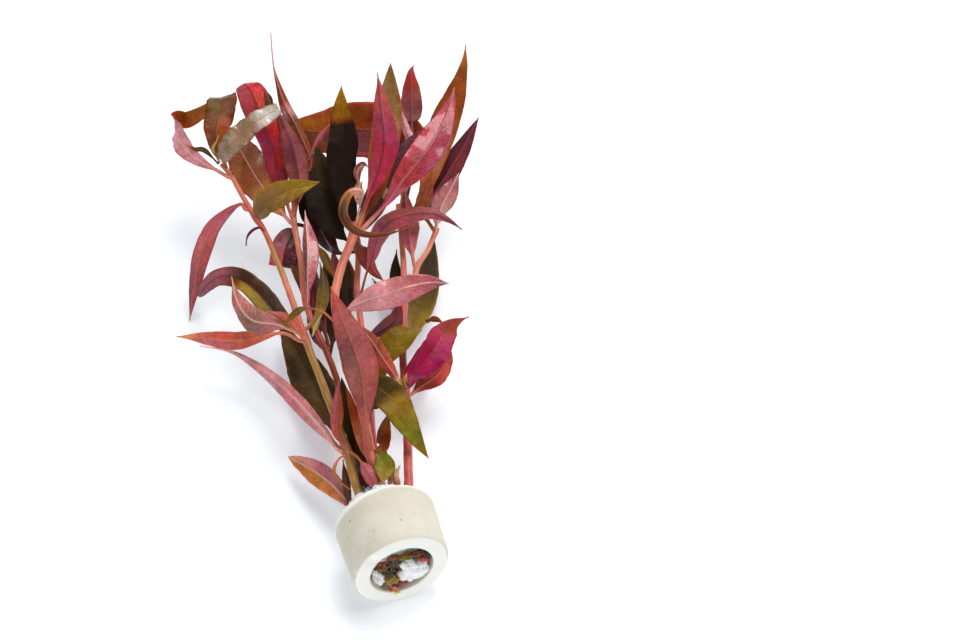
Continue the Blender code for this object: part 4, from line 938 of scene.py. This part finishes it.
def filled(profile, spacing, closed=True):
    """A profile with points added, so that none of its runs is longer than the spacing."""
    ends = np.roll(profile, -1, axis=0) if closed else profile[1:]
    parts = []
    for a, b in zip(profile, ends):
        steps = max(1, math.ceil(np.linalg.norm(b - a) / spacing))
        parts.append(a + (b - a) * np.linspace(0, 1, steps, endpoint=False)[:, None])
    if not closed:
        parts.append(profile[-1:])
    return np.vstack(parts)


# Chips at the rims of the pot: angle round the axis, place along Y, radius of the chip, depth.
CHIPS = ((math.radians(138), 0.2, 2.2, 0.8), (math.radians(40), 0.2, 1.0, 0.25),
         (math.radians(100), 19.6, 1.2, 0.3), (math.radians(75), 19.8, 0.8, 0.25))


def pot_skin():
    """The ring: a profile with rounded rims turned about the axis, its wall uneven by under a tenth of a
    millimetre as pressed clay is, and shallow chips knocked out of the rims."""
    outer, hole = (POT_DIAMETER - POT_FLARE) / 2 * POT_FACET, POT_HOLE / 2
    big, small, top = POT_OUTER_ROUND, POT_INNER_ROUND, POT_LENGTH
    profile = filled(np.vstack([
        rounded_corner(outer + POT_FLARE - big, top - big, big, 0),
        rounded_corner(hole + small, top - small, small, np.pi / 2),
        rounded_corner(hole + small, small, small, np.pi),
        rounded_corner(outer - big, big, big, 3 * np.pi / 2),
    ]), 0.7)
    angle = np.linspace(0, 2 * np.pi, POT_COLUMNS, endpoint=False)[None, :]
    r, y = profile[:, :1], profile[:, 1:]
    arc = angle * 15
    middle_r, middle_y = (outer + hole) / 2, top / 2
    inward_r, inward_y = middle_r - r, np.clip(middle_y - y, -3, 3)
    uneven = 0.05 * ripple(arc * 0.35, y * 0.4 + r * 0.3, 5) + 0.02 * ripple(arc, y + r, 6)
    push = -uneven
    for chip_angle, chip_y, size, depth in CHIPS:
        apart = (angle - chip_angle + np.pi) % (2 * np.pi) - np.pi
        dent = np.exp(-((apart * 13 / size) ** 2 + ((y - chip_y) / size) ** 2))
        push = push + depth * dent * (r > middle_r - 2)
    scale = np.hypot(inward_r, inward_y)
    # The bottom face is lighter, and so is a band round the top rim, reaching further down on the left: that
    # band is a painted highlight, the rounded rim catching the light. The rest of the body has the stained
    # cream.
    rim_highlight_place = y + 0.9 * smoothstep(0, -10, r * np.cos(angle))
    pale_face_and_rim_highlight = np.maximum(smoothstep(0.5, 0.25, y), smoothstep(18.2, 18.9, rim_highlight_place))
    pale_face_and_rim_highlight = pale_face_and_rim_highlight * smoothstep(hole - 0.2, hole + 0.4, r)
    pale_face_and_rim_highlight = pale_face_and_rim_highlight + 0 * angle
    pale_face_and_rim_highlight = np.broadcast_to(pale_face_and_rim_highlight[..., None], pale_face_and_rim_highlight.shape + (3,)).reshape(-1, 3)
    r = r + push * inward_r / scale
    y = y + push * inward_y / scale
    rings = np.stack([r * np.cos(angle), y, r * np.sin(angle)], axis=-1)
    points, faces = closed_skin(lay_down(rings), ends=False)
    return points, faces, pale_face_and_rim_highlight


def wool_mat_skin():
    """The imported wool: a lumpy plug turned about the axis, back from the bottom face and, at the top,
    swelling over the rim, most of all on the left."""
    inner, top = POT_HOLE / 2 - 0.1, POT_LENGTH
    profile = filled(np.array([
        (0.3, WOOL_RECESS - 0.8), (inner * 0.6, WOOL_RECESS - 0.4), (inner, WOOL_RECESS + 0.8),
        (inner, top - 0.3), (inner + 1.2, top + 0.4), (inner + 2.0, top + WOOL_MANE * 0.3),
        (inner + 1.8, top + WOOL_MANE * 0.6), (inner + 0.9, top + WOOL_MANE * 0.85),
        (inner * 0.7, top + WOOL_MANE), (0.3, top + WOOL_MANE),
    ]), 0.5, closed=False)
    angle = np.linspace(0, 2 * np.pi, 120, endpoint=False)[None, :]
    r, y = profile[:, :1], profile[:, 1:]
    outside = smoothstep(1.0, 2.5, abs(y - 11) - 7)
    x, z = r * np.cos(angle), r * np.sin(angle)
    lean = 0.35 + 0.65 * smoothstep(9, 2, x)
    lump = (0.5 * ripple(x * 0.9, z * 0.9 + y, 11) + 0.25 * ripple(x * 2.4, z * 2.4 + y, 13)) * outside
    y = np.where(y > top, top + (y - top) * lean, y) + np.where(y > 11, lump, -lump)
    r = r * (1 + 0.03 * outside * ripple(angle * 6, y, 12))
    rings = np.stack([r * np.cos(angle), y, r * np.sin(angle)], axis=-1)
    return closed_skin(lay_down(rings))


def lump_skin(middle, size, seed, uneven=0.22):
    """A rough lump: a ball stretched to its size along the three axes, its radius uneven by sums of sines."""
    lat = np.linspace(0.05, np.pi - 0.05, 18)[:, None]
    lon = np.linspace(0, 2 * np.pi, 28, endpoint=False)[None, :]
    ball = np.stack([np.sin(lat) * np.cos(lon), np.cos(lat) + 0 * lon, np.sin(lat) * np.sin(lon)], axis=-1)
    x, y, z = ball[..., 0], ball[..., 1], ball[..., 2]
    coarse = ripple(x * 2.5 + y, z * 2.5 - y, seed)
    fine = ripple(x * 6 + y, z * 6 - y * 2, seed + 1)
    r = 1 + uneven * coarse + uneven * 0.5 * fine
    return closed_skin(np.array(middle, float) + ball * r[..., None] * np.array(size, float) / 2)


def fibre_skin(count, starts, directions, lengths, radius, bend, seed):
    """Many fibres as thin four-sided tubes: each starts at its place, runs its way and bends at random."""
    draw = np.random.default_rng(seed)
    steps = 7
    s = np.linspace(0, 1, steps)[None, :, None]
    turn = draw.normal(0, 1, (count, 1, 3)) * bend
    twist = draw.normal(0, 1, (count, 1, 3)) * bend * 0.6
    middle = starts[:, None, :] + lengths[:, None, None] * (
        directions[:, None, :] * s + turn * s**2 + twist * np.sin(3 * np.pi * s) * 0.2
    )
    tangent = unit(np.gradient(middle, axis=1))
    side = unit(np.cross(tangent, draw.normal(0, 1, (count, 1, 3))))
    other = np.cross(side, tangent)
    angle = np.arange(4) * np.pi / 2
    r = radius * (1 - 0.6 * s) * draw.uniform(0.7, 1.3, (count, 1, 1))
    rings = middle[:, :, None, :] + (r * side)[:, :, None, :] * np.cos(angle)[:, None]
    rings = rings + (r * other)[:, :, None, :] * np.sin(angle)[:, None]
    points, faces = closed_skin(rings[0])
    offset = np.arange(count)[:, None, None] * len(points)
    return rings.reshape(-1, 3), (faces[None] + offset).reshape(-1, 4)


# How many fibres there are, how far from the axis they start, and their radius.
MANE_FIBRES = 3300
MANE_REACH = 11.4
MANE_FIBRE_RADIUS = 0.04
RECESS_FIBRES = 900
RECESS_REACH = 9.0
RECESS_FIBRE_RADIUS = 0.05


def mane_fibres():
    """Short crimped fibres all over the wool that swells out of the top."""
    draw = np.random.default_rng(21)
    count = MANE_FIBRES
    angle = draw.uniform(0, 2 * np.pi, count)
    r = MANE_REACH * np.sqrt(draw.uniform(0.4, 1.0, count))
    lean = 0.35 + 0.65 * smoothstep(9, 2, r * np.cos(angle))
    y = POT_LENGTH + lean * draw.uniform(0.1, 1.0, count) * WOOL_MANE
    starts = np.stack([r * np.cos(angle), y, r * np.sin(angle)], axis=-1)
    tangent = np.stack([-np.sin(angle), 0 * angle, np.cos(angle)], axis=-1)
    radial = np.stack([np.cos(angle), 0 * angle, np.sin(angle)], axis=-1)
    directions = unit(
        tangent * draw.normal(0, 1, (count, 1)) + radial * draw.normal(0.25, 0.4, (count, 1))
        + np.array([0, 1, 0]) * draw.normal(0.2, 0.5, (count, 1))
    )
    lengths = draw.uniform(0.3, 0.8, count)
    starts = lay_down(starts) - directions * lengths[:, None] * 0.3
    return fibre_skin(count, starts, directions, lengths, MANE_FIBRE_RADIUS, 0.35, 22)


def recess_fibres():
    """Fibres that lie over the wool in the recess at the bottom."""
    draw = np.random.default_rng(31)
    count = RECESS_FIBRES
    angle = draw.uniform(0, 2 * np.pi, count)
    r = RECESS_REACH * np.sqrt(draw.uniform(0, 1.0, count))
    y = WOOL_RECESS - draw.uniform(0, 1.2, count)
    starts = np.stack([r * np.cos(angle), y, r * np.sin(angle)], axis=-1)
    directions = unit(draw.normal(0, 1, (count, 3)) * np.array([1, 0.3, 1]))
    lengths = draw.uniform(0.8, 2.6, count)
    starts = lay_down(starts) - directions * 0.6
    return fibre_skin(count, starts, directions, lengths, RECESS_FIBRE_RADIUS, 0.45, 23)


# What lies in the recess: middle and size along the three axes.
WOOL_LUMPS = (
    ((3, 2, 10.5), (9, 4, 5.5)),
    ((5.5, 2, 13), (5, 3.5, 3.5)),
    ((2, 2.5, 14), (4.5, 3, 4)),
    ((-6.5, 2.5, 10), (4, 3, 4)),
    ((-7.5, 3, 13), (2.5, 2.5, 2.5)),
)
SCRAPS = (
    ("golden_olive", (-3, 1.5, 9), (4.5, 2.5, 3.5)),
    ("dark_olive", (-3.5, 3, 12), (4.5, 2.5, 3)),
    ("rust", (0.5, 1, 7.5), (3, 1.5, 1.5)),
    ("coral", (2, 1.5, 8), (2, 1, 1.5)),
    ("salmon", (-2, 0.5, 6), (2.5, 1.5, 2)),
    ("apricot", (-3.5, 0.5, 5.5), (1.5, 1, 1)),
    ("lime", (-2, 0, 4.5), (2, 0.5, 1)),
    ("lime", (-3.5, 0, 5), (1, 0.5, 0.5)),
    ("brown", (-5.5, 3, 14.5), (4.5, 2, 2)),
    ("dark_olive", (-1, 3, 15.5), (4.5, 2, 3)),
    ("olive", (-2, 3, 17.5), (3.5, 1.5, 1.5)),
    ("leaf_green", (2, 2.5, 17.5), (3.5, 2, 1.5)),
    ("coral", (6.5, 2.5, 15), (2, 1.5, 1.5)),
    ("brown", (5, 2.5, 18), (4, 1.5, 1.5)),
    ("rust", (-5.5, 2, 17.5), (4, 1, 0.5)),
    ("rust", (0, 1.5, 19.5), (7, 1, 0.5)),
    # The near-black lump is painted shade, in the dark gap at the right of the recess.
    ("black_brown", (8, 3, 16), (2, 2, 3)),
)


def recess_scraps():
    """Cut ends and leaf scraps caught in the recess, each a rough lump of its own colour; the near-black lump
    is painted shade.
    """
    skins = []
    for index, (pigment, middle, size) in enumerate(SCRAPS):
        points, faces = lump_skin(middle, size, 60 + 2 * index, 0.3)
        tint = np.broadcast_to([*linear(PIGMENTS[pigment]), 0.6], (len(points), 4))
        skins.append((points, faces, tint))
    return joined(skins)


def add(tree, kind, inputs=None, **settings):
    """Adds a node with its settings, and its inputs as values or as links from other sockets."""
    node = tree.nodes.new(kind)
    for key, value in settings.items():
        setattr(node, key, value)
    for key, value in (inputs or {}).items():
        if isinstance(value, bpy.types.NodeSocket):
            tree.links.new(value, node.inputs[key])
        else:
            node.inputs[key].default_value = value
    return node


def new_material(name):
    """A material with an empty node tree but for its Principled shader, and both of those."""
    made = bpy.data.materials.new(name)
    made.use_nodes = True
    return made, made.node_tree, made.node_tree.nodes["Principled BSDF"]


def leaf_material(name, specular, coat):
    """Living leaf skin: a waxy, slightly translucent film over pulp, with pinnate ribs.

    The wax gives soft broken highlights, the pulp lets light through, and the ribs are lines along the
    blade's own millimetres.
    """
    made, tree, shader = new_material(name)
    tint = add(tree, "ShaderNodeAttribute", attribute_name="tint")
    rib = add(tree, "ShaderNodeAttribute", attribute_name="rib")
    place = add(tree, "ShaderNodeAttribute", attribute_name="blade_mm")
    body = add(tree, "ShaderNodeTexCoord").outputs["Object"]
    axes = add(tree, "ShaderNodeSeparateXYZ", {0: place.outputs["Vector"]})
    across, along = axes.outputs[0], axes.outputs[1]
    x = add(tree, "ShaderNodeMath", {0: across}, operation="ABSOLUTE").outputs[0]
    wander = add(tree, "ShaderNodeTexNoise", {"Vector": body, "Scale": 240.0, "Detail": 2.0}).outputs["Fac"]

    # The ribs' own distances: from the midrib, and from the nearest side vein, which shows in patches only.
    rise = add(tree, "ShaderNodeMath", {0: x, 1: SIDE_VEIN_BEND, 2: SIDE_VEIN_RISE},
               operation="MULTIPLY_ADD").outputs[0]
    climb = add(tree, "ShaderNodeMath", {0: x, 1: rise}, operation="MULTIPLY").outputs[0]
    level = add(tree, "ShaderNodeMath", {0: along, 1: climb}, operation="SUBTRACT").outputs[0]
    level = add(tree, "ShaderNodeMath", {0: wander, 1: 2.4, 2: level}, operation="MULTIPLY_ADD").outputs[0]
    turn = add(tree, "ShaderNodeMath", {0: across}, operation="SIGN").outputs[0]
    level = add(tree, "ShaderNodeMath", {0: turn, 1: SIDE_VEIN_SPACING / 4, 2: level},
                operation="MULTIPLY_ADD").outputs[0]
    off_vein = add(tree, "ShaderNodeMath", {0: level, 1: SIDE_VEIN_SPACING / 2},
                   operation="PINGPONG").outputs[0]
    side_vein = add(tree, "ShaderNodeMapRange", {0: off_vein, 1: 0.02, 2: 0.3, 3: 0.55, 4: 0.0},
                    interpolation_type="SMOOTHSTEP").outputs[0]
    patchy = add(tree, "ShaderNodeTexNoise", {"Vector": body, "Scale": 150.0, "Detail": 1.0}).outputs["Fac"]
    patchy = add(tree, "ShaderNodeMapRange", {0: patchy, 1: 0.35, 2: 0.62, 3: 0.1, 4: 1.0}).outputs[0]
    side_vein = add(tree, "ShaderNodeMath", {0: side_vein, 1: patchy}, operation="MULTIPLY").outputs[0]
    midrib = add(tree, "ShaderNodeMapRange", {0: x, 1: 0.1, 2: 0.42, 3: 1.0, 4: 0.0},
                 interpolation_type="SMOOTHSTEP").outputs[0]
    ribs = add(tree, "ShaderNodeMath", {0: side_vein, 1: midrib}, operation="MAXIMUM").outputs[0]
    net = add(tree, "ShaderNodeTexVoronoi", {"Vector": place.outputs["Vector"], "Scale": 1.3},
              feature="DISTANCE_TO_EDGE").outputs["Distance"]
    net = add(tree, "ShaderNodeMapRange", {0: net, 1: 0.0, 2: 0.16, 3: 0.2, 4: 0.0}).outputs[0]
    ribs = add(tree, "ShaderNodeMath", {0: ribs, 1: net}, operation="MAXIMUM").outputs[0]

    # Colour: patches of deeper, paler and redder pigment a few millimetres across, a fine mottle, the ribs.
    patches = add(tree, "ShaderNodeTexNoise", {"Vector": body, "Scale": 150.0, "Detail": 4.0,
                                               "Roughness": 0.65}).outputs["Fac"]
    mottle = add(tree, "ShaderNodeTexNoise", {"Vector": body, "Scale": 900.0, "Detail": 3.0}).outputs["Fac"]
    depth = add(tree, "ShaderNodeMapRange", {0: patches, 1: 0.3, 2: 0.7, 3: 0.62, 4: 1.3}).outputs[0]
    grain = add(tree, "ShaderNodeMapRange", {0: mottle, 1: 0.3, 2: 0.7, 3: 0.8, 4: 1.2}).outputs[0]
    depth = add(tree, "ShaderNodeMath", {0: depth, 1: grain}, operation="MULTIPLY").outputs[0]
    flush = add(tree, "ShaderNodeTexNoise", {"Vector": body, "Scale": 90.0, "Detail": 2.0}).outputs["Fac"]
    hue = add(tree, "ShaderNodeMapRange", {0: flush, 1: 0.3, 2: 0.7, 3: 0.486, 4: 0.514}).outputs[0]
    colour = add(tree, "ShaderNodeHueSaturation", {"Hue": hue, "Saturation": 1.04, "Value": depth,
                                                   "Color": tint.outputs["Color"]}).outputs[0]
    share = add(tree, "ShaderNodeMath", {0: ribs, 1: rib.outputs["Alpha"]}, operation="MULTIPLY").outputs[0]
    colour = add(tree, "ShaderNodeMix", {0: share, 6: colour, 7: rib.outputs["Color"]},
                 data_type="RGBA").outputs[2]
    tree.links.new(colour, shader.inputs["Base Color"])

    # Gloss: the film of wax is broken, so the roughness changes from place to place.
    film = add(tree, "ShaderNodeTexNoise", {"Vector": body, "Scale": 380.0, "Detail": 4.0}).outputs["Fac"]
    rough = add(tree, "ShaderNodeMath", {0: tint.outputs["Alpha"], 1: -0.34, 2: 0.4},
                operation="MULTIPLY_ADD").outputs[0]
    rough = add(tree, "ShaderNodeMath", {0: film, 1: 0.3, 2: rough}, operation="MULTIPLY_ADD").outputs[0]
    tree.links.new(rough, shader.inputs["Roughness"])

    # Relief: ribs, and the puckered skin between them. The cells of the skin are far too fine to show, so the
    # pucker is drawn 0.6 mm across.
    pucker = add(tree, "ShaderNodeTexNoise", {"Vector": body, "Scale": 1500.0, "Detail": 2.0}).outputs["Fac"]
    dent = add(tree, "ShaderNodeTexNoise", {"Vector": body, "Scale": 420.0, "Detail": 2.0}).outputs["Fac"]
    relief = add(tree, "ShaderNodeMath", {0: pucker, 1: 0.4, 2: ribs}, operation="MULTIPLY_ADD").outputs[0]
    relief = add(tree, "ShaderNodeMath", {0: dent, 1: 1.4, 2: relief}, operation="MULTIPLY_ADD").outputs[0]
    bump = add(tree, "ShaderNodeBump", {"Height": relief, "Distance": 0.0002, "Strength": 0.8})
    tree.links.new(bump.outputs[0], shader.inputs["Normal"])
    shader.inputs["IOR"].default_value = 1.45
    shader.inputs["Specular IOR Level"].default_value = specular
    shader.inputs["Subsurface Weight"].default_value = 0.2
    shader.inputs["Subsurface Radius"].default_value = (1.0, 0.35, 0.2)
    shader.inputs["Subsurface Scale"].default_value = 0.6 * MM
    shader.inputs["Coat Weight"].default_value = coat
    shader.inputs["Coat Roughness"].default_value = 0.12
    return made


def stem_material():
    """Young stem skin: satin, ribbed lengthwise and a little translucent, with short pale streaks."""
    made, tree, shader = new_material("young_stem_skin")
    tint = add(tree, "ShaderNodeAttribute", attribute_name="tint")
    place = add(tree, "ShaderNodeAttribute", attribute_name="blade_mm")
    stretched = add(tree, "ShaderNodeMapping", {"Vector": place.outputs["Vector"], "Scale": (1.6, 0.18, 1.0)})
    streaks = add(tree, "ShaderNodeTexNoise", {"Vector": stretched.outputs[0], "Scale": 1.6, "Detail": 3.0})
    depth = add(tree, "ShaderNodeMapRange", {0: streaks.outputs["Fac"], 1: 0.3, 2: 0.7, 3: 0.72, 4: 1.2})
    colour = add(tree, "ShaderNodeVectorMath", {0: tint.outputs["Color"], 3: depth.outputs[0]},
                 operation="SCALE")
    tree.links.new(colour.outputs[0], shader.inputs["Base Color"])
    shader.inputs["Roughness"].default_value = 0.36
    shader.inputs["Specular IOR Level"].default_value = 0.35
    bump = add(tree, "ShaderNodeBump",
               {"Height": streaks.outputs["Fac"], "Distance": 0.0002, "Strength": 0.6})
    tree.links.new(bump.outputs[0], shader.inputs["Normal"])
    shader.inputs["Subsurface Weight"].default_value = 0.3
    shader.inputs["Subsurface Radius"].default_value = (1.0, 0.4, 0.25)
    shader.inputs["Subsurface Scale"].default_value = 0.9 * MM
    return made


def flesh_material():
    """Cut plant flesh: moist, mottled and a little translucent."""
    made, tree, shader = new_material("cut_plant_flesh")
    tint = add(tree, "ShaderNodeAttribute", attribute_name="tint")
    body = add(tree, "ShaderNodeTexCoord").outputs["Object"]
    mottle = add(tree, "ShaderNodeTexNoise", {"Vector": body, "Scale": 1100.0, "Detail": 4.0}).outputs["Fac"]
    depth = add(tree, "ShaderNodeMapRange", {0: mottle, 1: 0.3, 2: 0.7, 3: 0.5, 4: 1.5}).outputs[0]
    colour = add(tree, "ShaderNodeVectorMath", {0: tint.outputs["Color"], 3: depth},
                 operation="SCALE").outputs[0]
    tree.links.new(colour, shader.inputs["Base Color"])
    shader.inputs["Roughness"].default_value = 0.4
    bump = add(tree, "ShaderNodeBump", {"Height": mottle, "Distance": 0.0004, "Strength": 0.8})
    tree.links.new(bump.outputs[0], shader.inputs["Normal"])
    return made


def clay_material():
    """Pressed, unglazed stoneware: matt cream with a sandy grain, faint stains and sparse dark specks."""
    made, tree, shader = new_material("unglazed_stoneware")
    body = add(tree, "ShaderNodeTexCoord").outputs["Object"]
    pale_face_and_rim_highlight = add(tree, "ShaderNodeAttribute", attribute_name="pale_face_and_rim_highlight").outputs["Fac"]
    stain = add(tree, "ShaderNodeTexNoise", {"Vector": body, "Scale": 70.0, "Detail": 6.0, "Roughness": 0.7})
    stain = add(tree, "ShaderNodeMapRange",
                {0: stain.outputs["Fac"], 1: 0.35, 2: 0.65, 3: 0.0, 4: 1.0}).outputs[0]
    skin = add(tree, "ShaderNodeMix", {0: stain, 6: (*linear("#D2CBB9"), 1), 7: (*linear("#E0DBCE"), 1)},
               data_type="RGBA").outputs[2]
    # Towards near-white on the bottom face, and on the band round the top rim, where it is a painted
    # highlight.
    colour = add(tree, "ShaderNodeMix", {0: pale_face_and_rim_highlight, 6: skin, 7: (*linear("#F8F6F0"), 1)},
                 data_type="RGBA").outputs[2]
    cells = add(tree, "ShaderNodeTexVoronoi", {"Vector": body, "Scale": 300.0})
    pick = add(tree, "ShaderNodeMath", {0: cells.outputs["Color"], 1: 0.6},
               operation="GREATER_THAN").outputs[0]
    near = add(tree, "ShaderNodeMapRange", {0: cells.outputs["Distance"], 1: 0.06, 2: 0.18, 3: 1.0, 4: 0.0})
    speck = add(tree, "ShaderNodeMath", {0: pick, 1: near.outputs[0]}, operation="MULTIPLY").outputs[0]
    fired = add(tree, "ShaderNodeMapRange", {0: pale_face_and_rim_highlight, 1: 0.0, 2: 0.5, 3: 1.0, 4: 0.0}).outputs[0]
    speck = add(tree, "ShaderNodeMath", {0: speck, 1: fired}, operation="MULTIPLY").outputs[0]
    share = add(tree, "ShaderNodeMath", {0: speck, 1: 0.6}, operation="MULTIPLY").outputs[0]
    colour = add(tree, "ShaderNodeMix", {0: share, 6: colour, 7: (*linear("#857C6A"), 1)},
                 data_type="RGBA").outputs[2]
    tree.links.new(colour, shader.inputs["Base Color"])
    shader.inputs["Roughness"].default_value = 0.72
    shader.inputs["Specular IOR Level"].default_value = 0.3
    grain = add(tree, "ShaderNodeTexNoise", {"Vector": body, "Scale": 1300.0, "Detail": 3.0}).outputs["Fac"]
    relief = add(tree, "ShaderNodeMath", {0: speck, 1: -1.5, 2: grain}, operation="MULTIPLY_ADD").outputs[0]
    bump = add(tree, "ShaderNodeBump", {"Height": relief, "Distance": 0.0001, "Strength": 0.5})
    tree.links.new(bump.outputs[0], shader.inputs["Normal"])
    return made


def wool_material(name, shade, relief):
    """Mineral wool: blown white fibres with a dull glassy sheen, felted below and loose at the surface."""
    made, tree, shader = new_material(name)
    body = add(tree, "ShaderNodeTexCoord").outputs["Object"]
    tufts = add(tree, "ShaderNodeTexNoise", {"Vector": body, "Scale": 900.0, "Detail": 4.0, "Roughness": 0.7})
    share = add(tree, "ShaderNodeMapRange", {0: tufts.outputs["Fac"], 1: 0.35, 2: 0.6, 3: 0.0, 4: 1.0})
    colour = add(tree, "ShaderNodeMix", {0: share.outputs[0], 6: (*linear(shade), 1),
                                         7: (*linear("#F4F5F5"), 1)}, data_type="RGBA")
    tree.links.new(colour.outputs[2], shader.inputs["Base Color"])
    shader.inputs["Roughness"].default_value = 0.85
    shader.inputs["Sheen Weight"].default_value = 0.2
    bump = add(tree, "ShaderNodeBump",
               {"Height": tufts.outputs["Fac"], "Distance": 0.0006, "Strength": relief})
    tree.links.new(bump.outputs[0], shader.inputs["Normal"])
    return made


leaf_skin_satin = leaf_material("leaf_skin_satin", 0.3, 0.0)
leaf_skin_wet = leaf_material("leaf_skin_wet", 0.5, 0.6)
# A shaded copy of the leaf skin, with little specular, for the darkest leaves deep in the bunch: painted
# shade.
leaf_skin_shaded = leaf_material("leaf_skin_shaded", 0.12, 0.0)
WET_FROM = 0.6
SHADED_GLOSS_TO = 0.25
# The first seed of the small leaves' random draws, and of the stems'. The leaves' own start at 0.
SMALL_LEAF_SEEDS = 100
STEM_SEEDS = 200


def add_leaf(piece_name, name, points, width, side, near_foot, near_tip, seed, nodes):
    """One leaf as a piece: wet leaves are those whose gloss is high, and the darkest take the shaded copy."""
    skin = leaf_skin(name, points, width, side, near_foot, near_tip, seed)
    gloss = LOOKS[name].get("gloss", USUAL_LOOK["gloss"])
    material = leaf_skin_wet if gloss >= WET_FROM else leaf_skin_shaded if gloss <= SHADED_GLOSS_TO else leaf_skin_satin
    add_piece(
        piece_name, skin[0], skin[1], material,
        {"tint": skin[2], "rib": skin[3], "blade_mm": skin[4]},
        "leaf_underside" if side == UNDER else "leaf_upper", nodes,
    )


for index, (name, stem, node, points, width, side, near_foot, near_tip) in enumerate(LEAVES):
    add_leaf("blade_" + name, name, leaf_points(stem, node, points), width, side, near_foot, near_tip, index,
             ["leaf_" + name])

for index, (name, stem, node, points, width, side, facing) in enumerate(SMALL_LEAVES):
    points = leaf_points(stem, node, points) if stem else points
    add_leaf(name, name, points, width, side, facing, facing, SMALL_LEAF_SEEDS + index, ())

young_stem_skin = stem_material()
for index, name in enumerate(STEMS):
    points, faces, tint, place = stem_skin(name, STEM_SEEDS + index)
    values = {"tint": tint, "blade_mm": place}
    add_piece("grown_" + name, points, faces, young_stem_skin, values, "stem", [name])

points, faces, pale_face_and_rim_highlight = pot_skin()
add_piece("stoneware_ring", points, faces, clay_material(), {"pale_face_and_rim_highlight": pale_face_and_rim_highlight}, "ring_pot", ["ring_pot"])
felted_wool = wool_material("felted_wool", "#CBCFD4", 0.9)
loose_wool = wool_material("loose_wool", "#D0D3D9", 0.9)
clean_wool = wool_material("clean_wool", "#FCFDFD", 0.35)
add_piece("wool_mat", *wool_mat_skin(), felted_wool, {}, "wool_plug", ["wool_plug"])
add_piece("wool_mane", *mane_fibres(), loose_wool, {}, "wool_plug")
lumps = joined([lump_skin(middle, size, 80 + 2 * k) for k, (middle, size) in enumerate(WOOL_LUMPS)])
add_piece("wool_lumps", *lumps, clean_wool, {}, "wool_plug")
add_piece("wool_threads", *recess_fibres(), loose_wool, {}, "wool_plug")
points, faces, tint = recess_scraps()
add_piece("recess_scraps", points, faces, flesh_material(), {"tint": tint}, "stem")


# Stage: a white sheet lit from below as well, a large soft light overhead, and others round it.
def floor_material():
    """Matt white acrylic sheet with a lamp below it, which keeps the shadows faint."""
    made, tree, shader = new_material("white_acrylic_sheet")
    body = add(tree, "ShaderNodeTexCoord").outputs["Object"]
    cloud = add(tree, "ShaderNodeTexNoise", {"Vector": body, "Scale": 3.0, "Detail": 1.0}).outputs["Fac"]
    colour = add(tree, "ShaderNodeMix", {0: cloud, 6: (0.78, 0.80, 0.83, 1), 7: (0.80, 0.82, 0.84, 1)},
                 data_type="RGBA")
    tree.links.new(colour.outputs[2], shader.inputs["Base Color"])
    shader.inputs["Roughness"].default_value = 0.6
    shader.inputs["Emission Color"].default_value = (0.84, 0.92, 1.0, 1)
    shader.inputs["Emission Strength"].default_value = 0.32
    return made


# Half the floor's side, in metres.
FLOOR_REACH = 3
floor_corners = [(x * FLOOR_REACH, y * FLOOR_REACH, 0) for x, y in ((-1, -1), (1, -1), (1, 1), (-1, 1))]
floor_mesh = bpy.data.meshes.new("white_floor")
floor_mesh.from_pydata(floor_corners, [], [(0, 1, 2, 3)])
floor_mesh.materials.append(floor_material())
white_floor = bpy.data.objects.new("white_floor", floor_mesh)
bpy.context.scene.collection.objects.link(white_floor)


def soft_light(name, place, size, power, colour):
    """A square area light that looks at the middle of the bunch."""
    data = bpy.data.lights.new(name, "AREA")
    data.size = size
    data.energy = power
    data.color = colour
    light = bpy.data.objects.new(name, data)
    light.location = place
    light.rotation_euler = (Vector((0, 0, 0.03)) - Vector(place)).to_track_quat("-Z", "Y").to_euler()
    bpy.context.scene.collection.objects.link(light)


# Name, place and side in metres, power in watts, colour.
SOFT_LIGHTS = (
    ("softbox_overhead", (0.3, 0.3, 1.2), 0.7, 10.5, (1.0, 0.99, 0.97)),
    ("softbox_right", (0.95, -0.1, 0.8), 0.5, 4.5, (1.0, 0.98, 0.95)),
    ("softbox_behind", (0.25, 1.05, 1.0), 0.5, 3.5, (1.0, 1.0, 1.0)),
    ("softbox_front", (-0.4, -1.2, 0.45), 0.9, 5.5, (1.0, 0.99, 0.97)),
    ("softbox_left", (-1.0, -0.3, 0.6), 0.9, 2.5, (0.97, 0.98, 1.0)),
)
for row in SOFT_LIGHTS:
    soft_light(*row)
world = bpy.data.worlds.new("even_sky")
world.use_nodes = True
world.node_tree.nodes["Background"].inputs["Color"].default_value = (0.93, 0.96, 1.0, 1)
world.node_tree.nodes["Background"].inputs["Strength"].default_value = 0.16
bpy.context.scene.world = world
bpy.context.scene.view_settings.view_transform = "Standard"

# Camera: an 85 mm lens on a full frame, looking down at the bunch from beyond the pot. Its place and angles
# were solved for by least squares from points picked on the ring's rims in the photograph.
LENS = 85.0
SENSOR = 36.0
CAMERA_PLACE = (-83.27, -388.53, 544.69)
CAMERA_HEADING = math.radians(15.3574)
CAMERA_DOWN = math.radians(46.8770)
camera_data = bpy.data.cameras.new("camera")
camera_data.lens = LENS
camera_data.sensor_width = SENSOR
camera = bpy.data.objects.new("camera", camera_data)
right = Vector((math.cos(CAMERA_HEADING), -math.sin(CAMERA_HEADING), 0))
ahead = Vector((math.sin(CAMERA_HEADING) * math.cos(CAMERA_DOWN),
                math.cos(CAMERA_HEADING) * math.cos(CAMERA_DOWN), -math.sin(CAMERA_DOWN)))
above = right.cross(ahead)
camera.matrix_world = Matrix.Translation((np.array(CAMERA_PLACE) + ORIGIN) * MM) @ Matrix(
    (right, above, -ahead)).transposed().to_4x4()
bpy.context.scene.collection.objects.link(camera)
bpy.context.scene.camera = camera

bpy.context.view_layer.update()
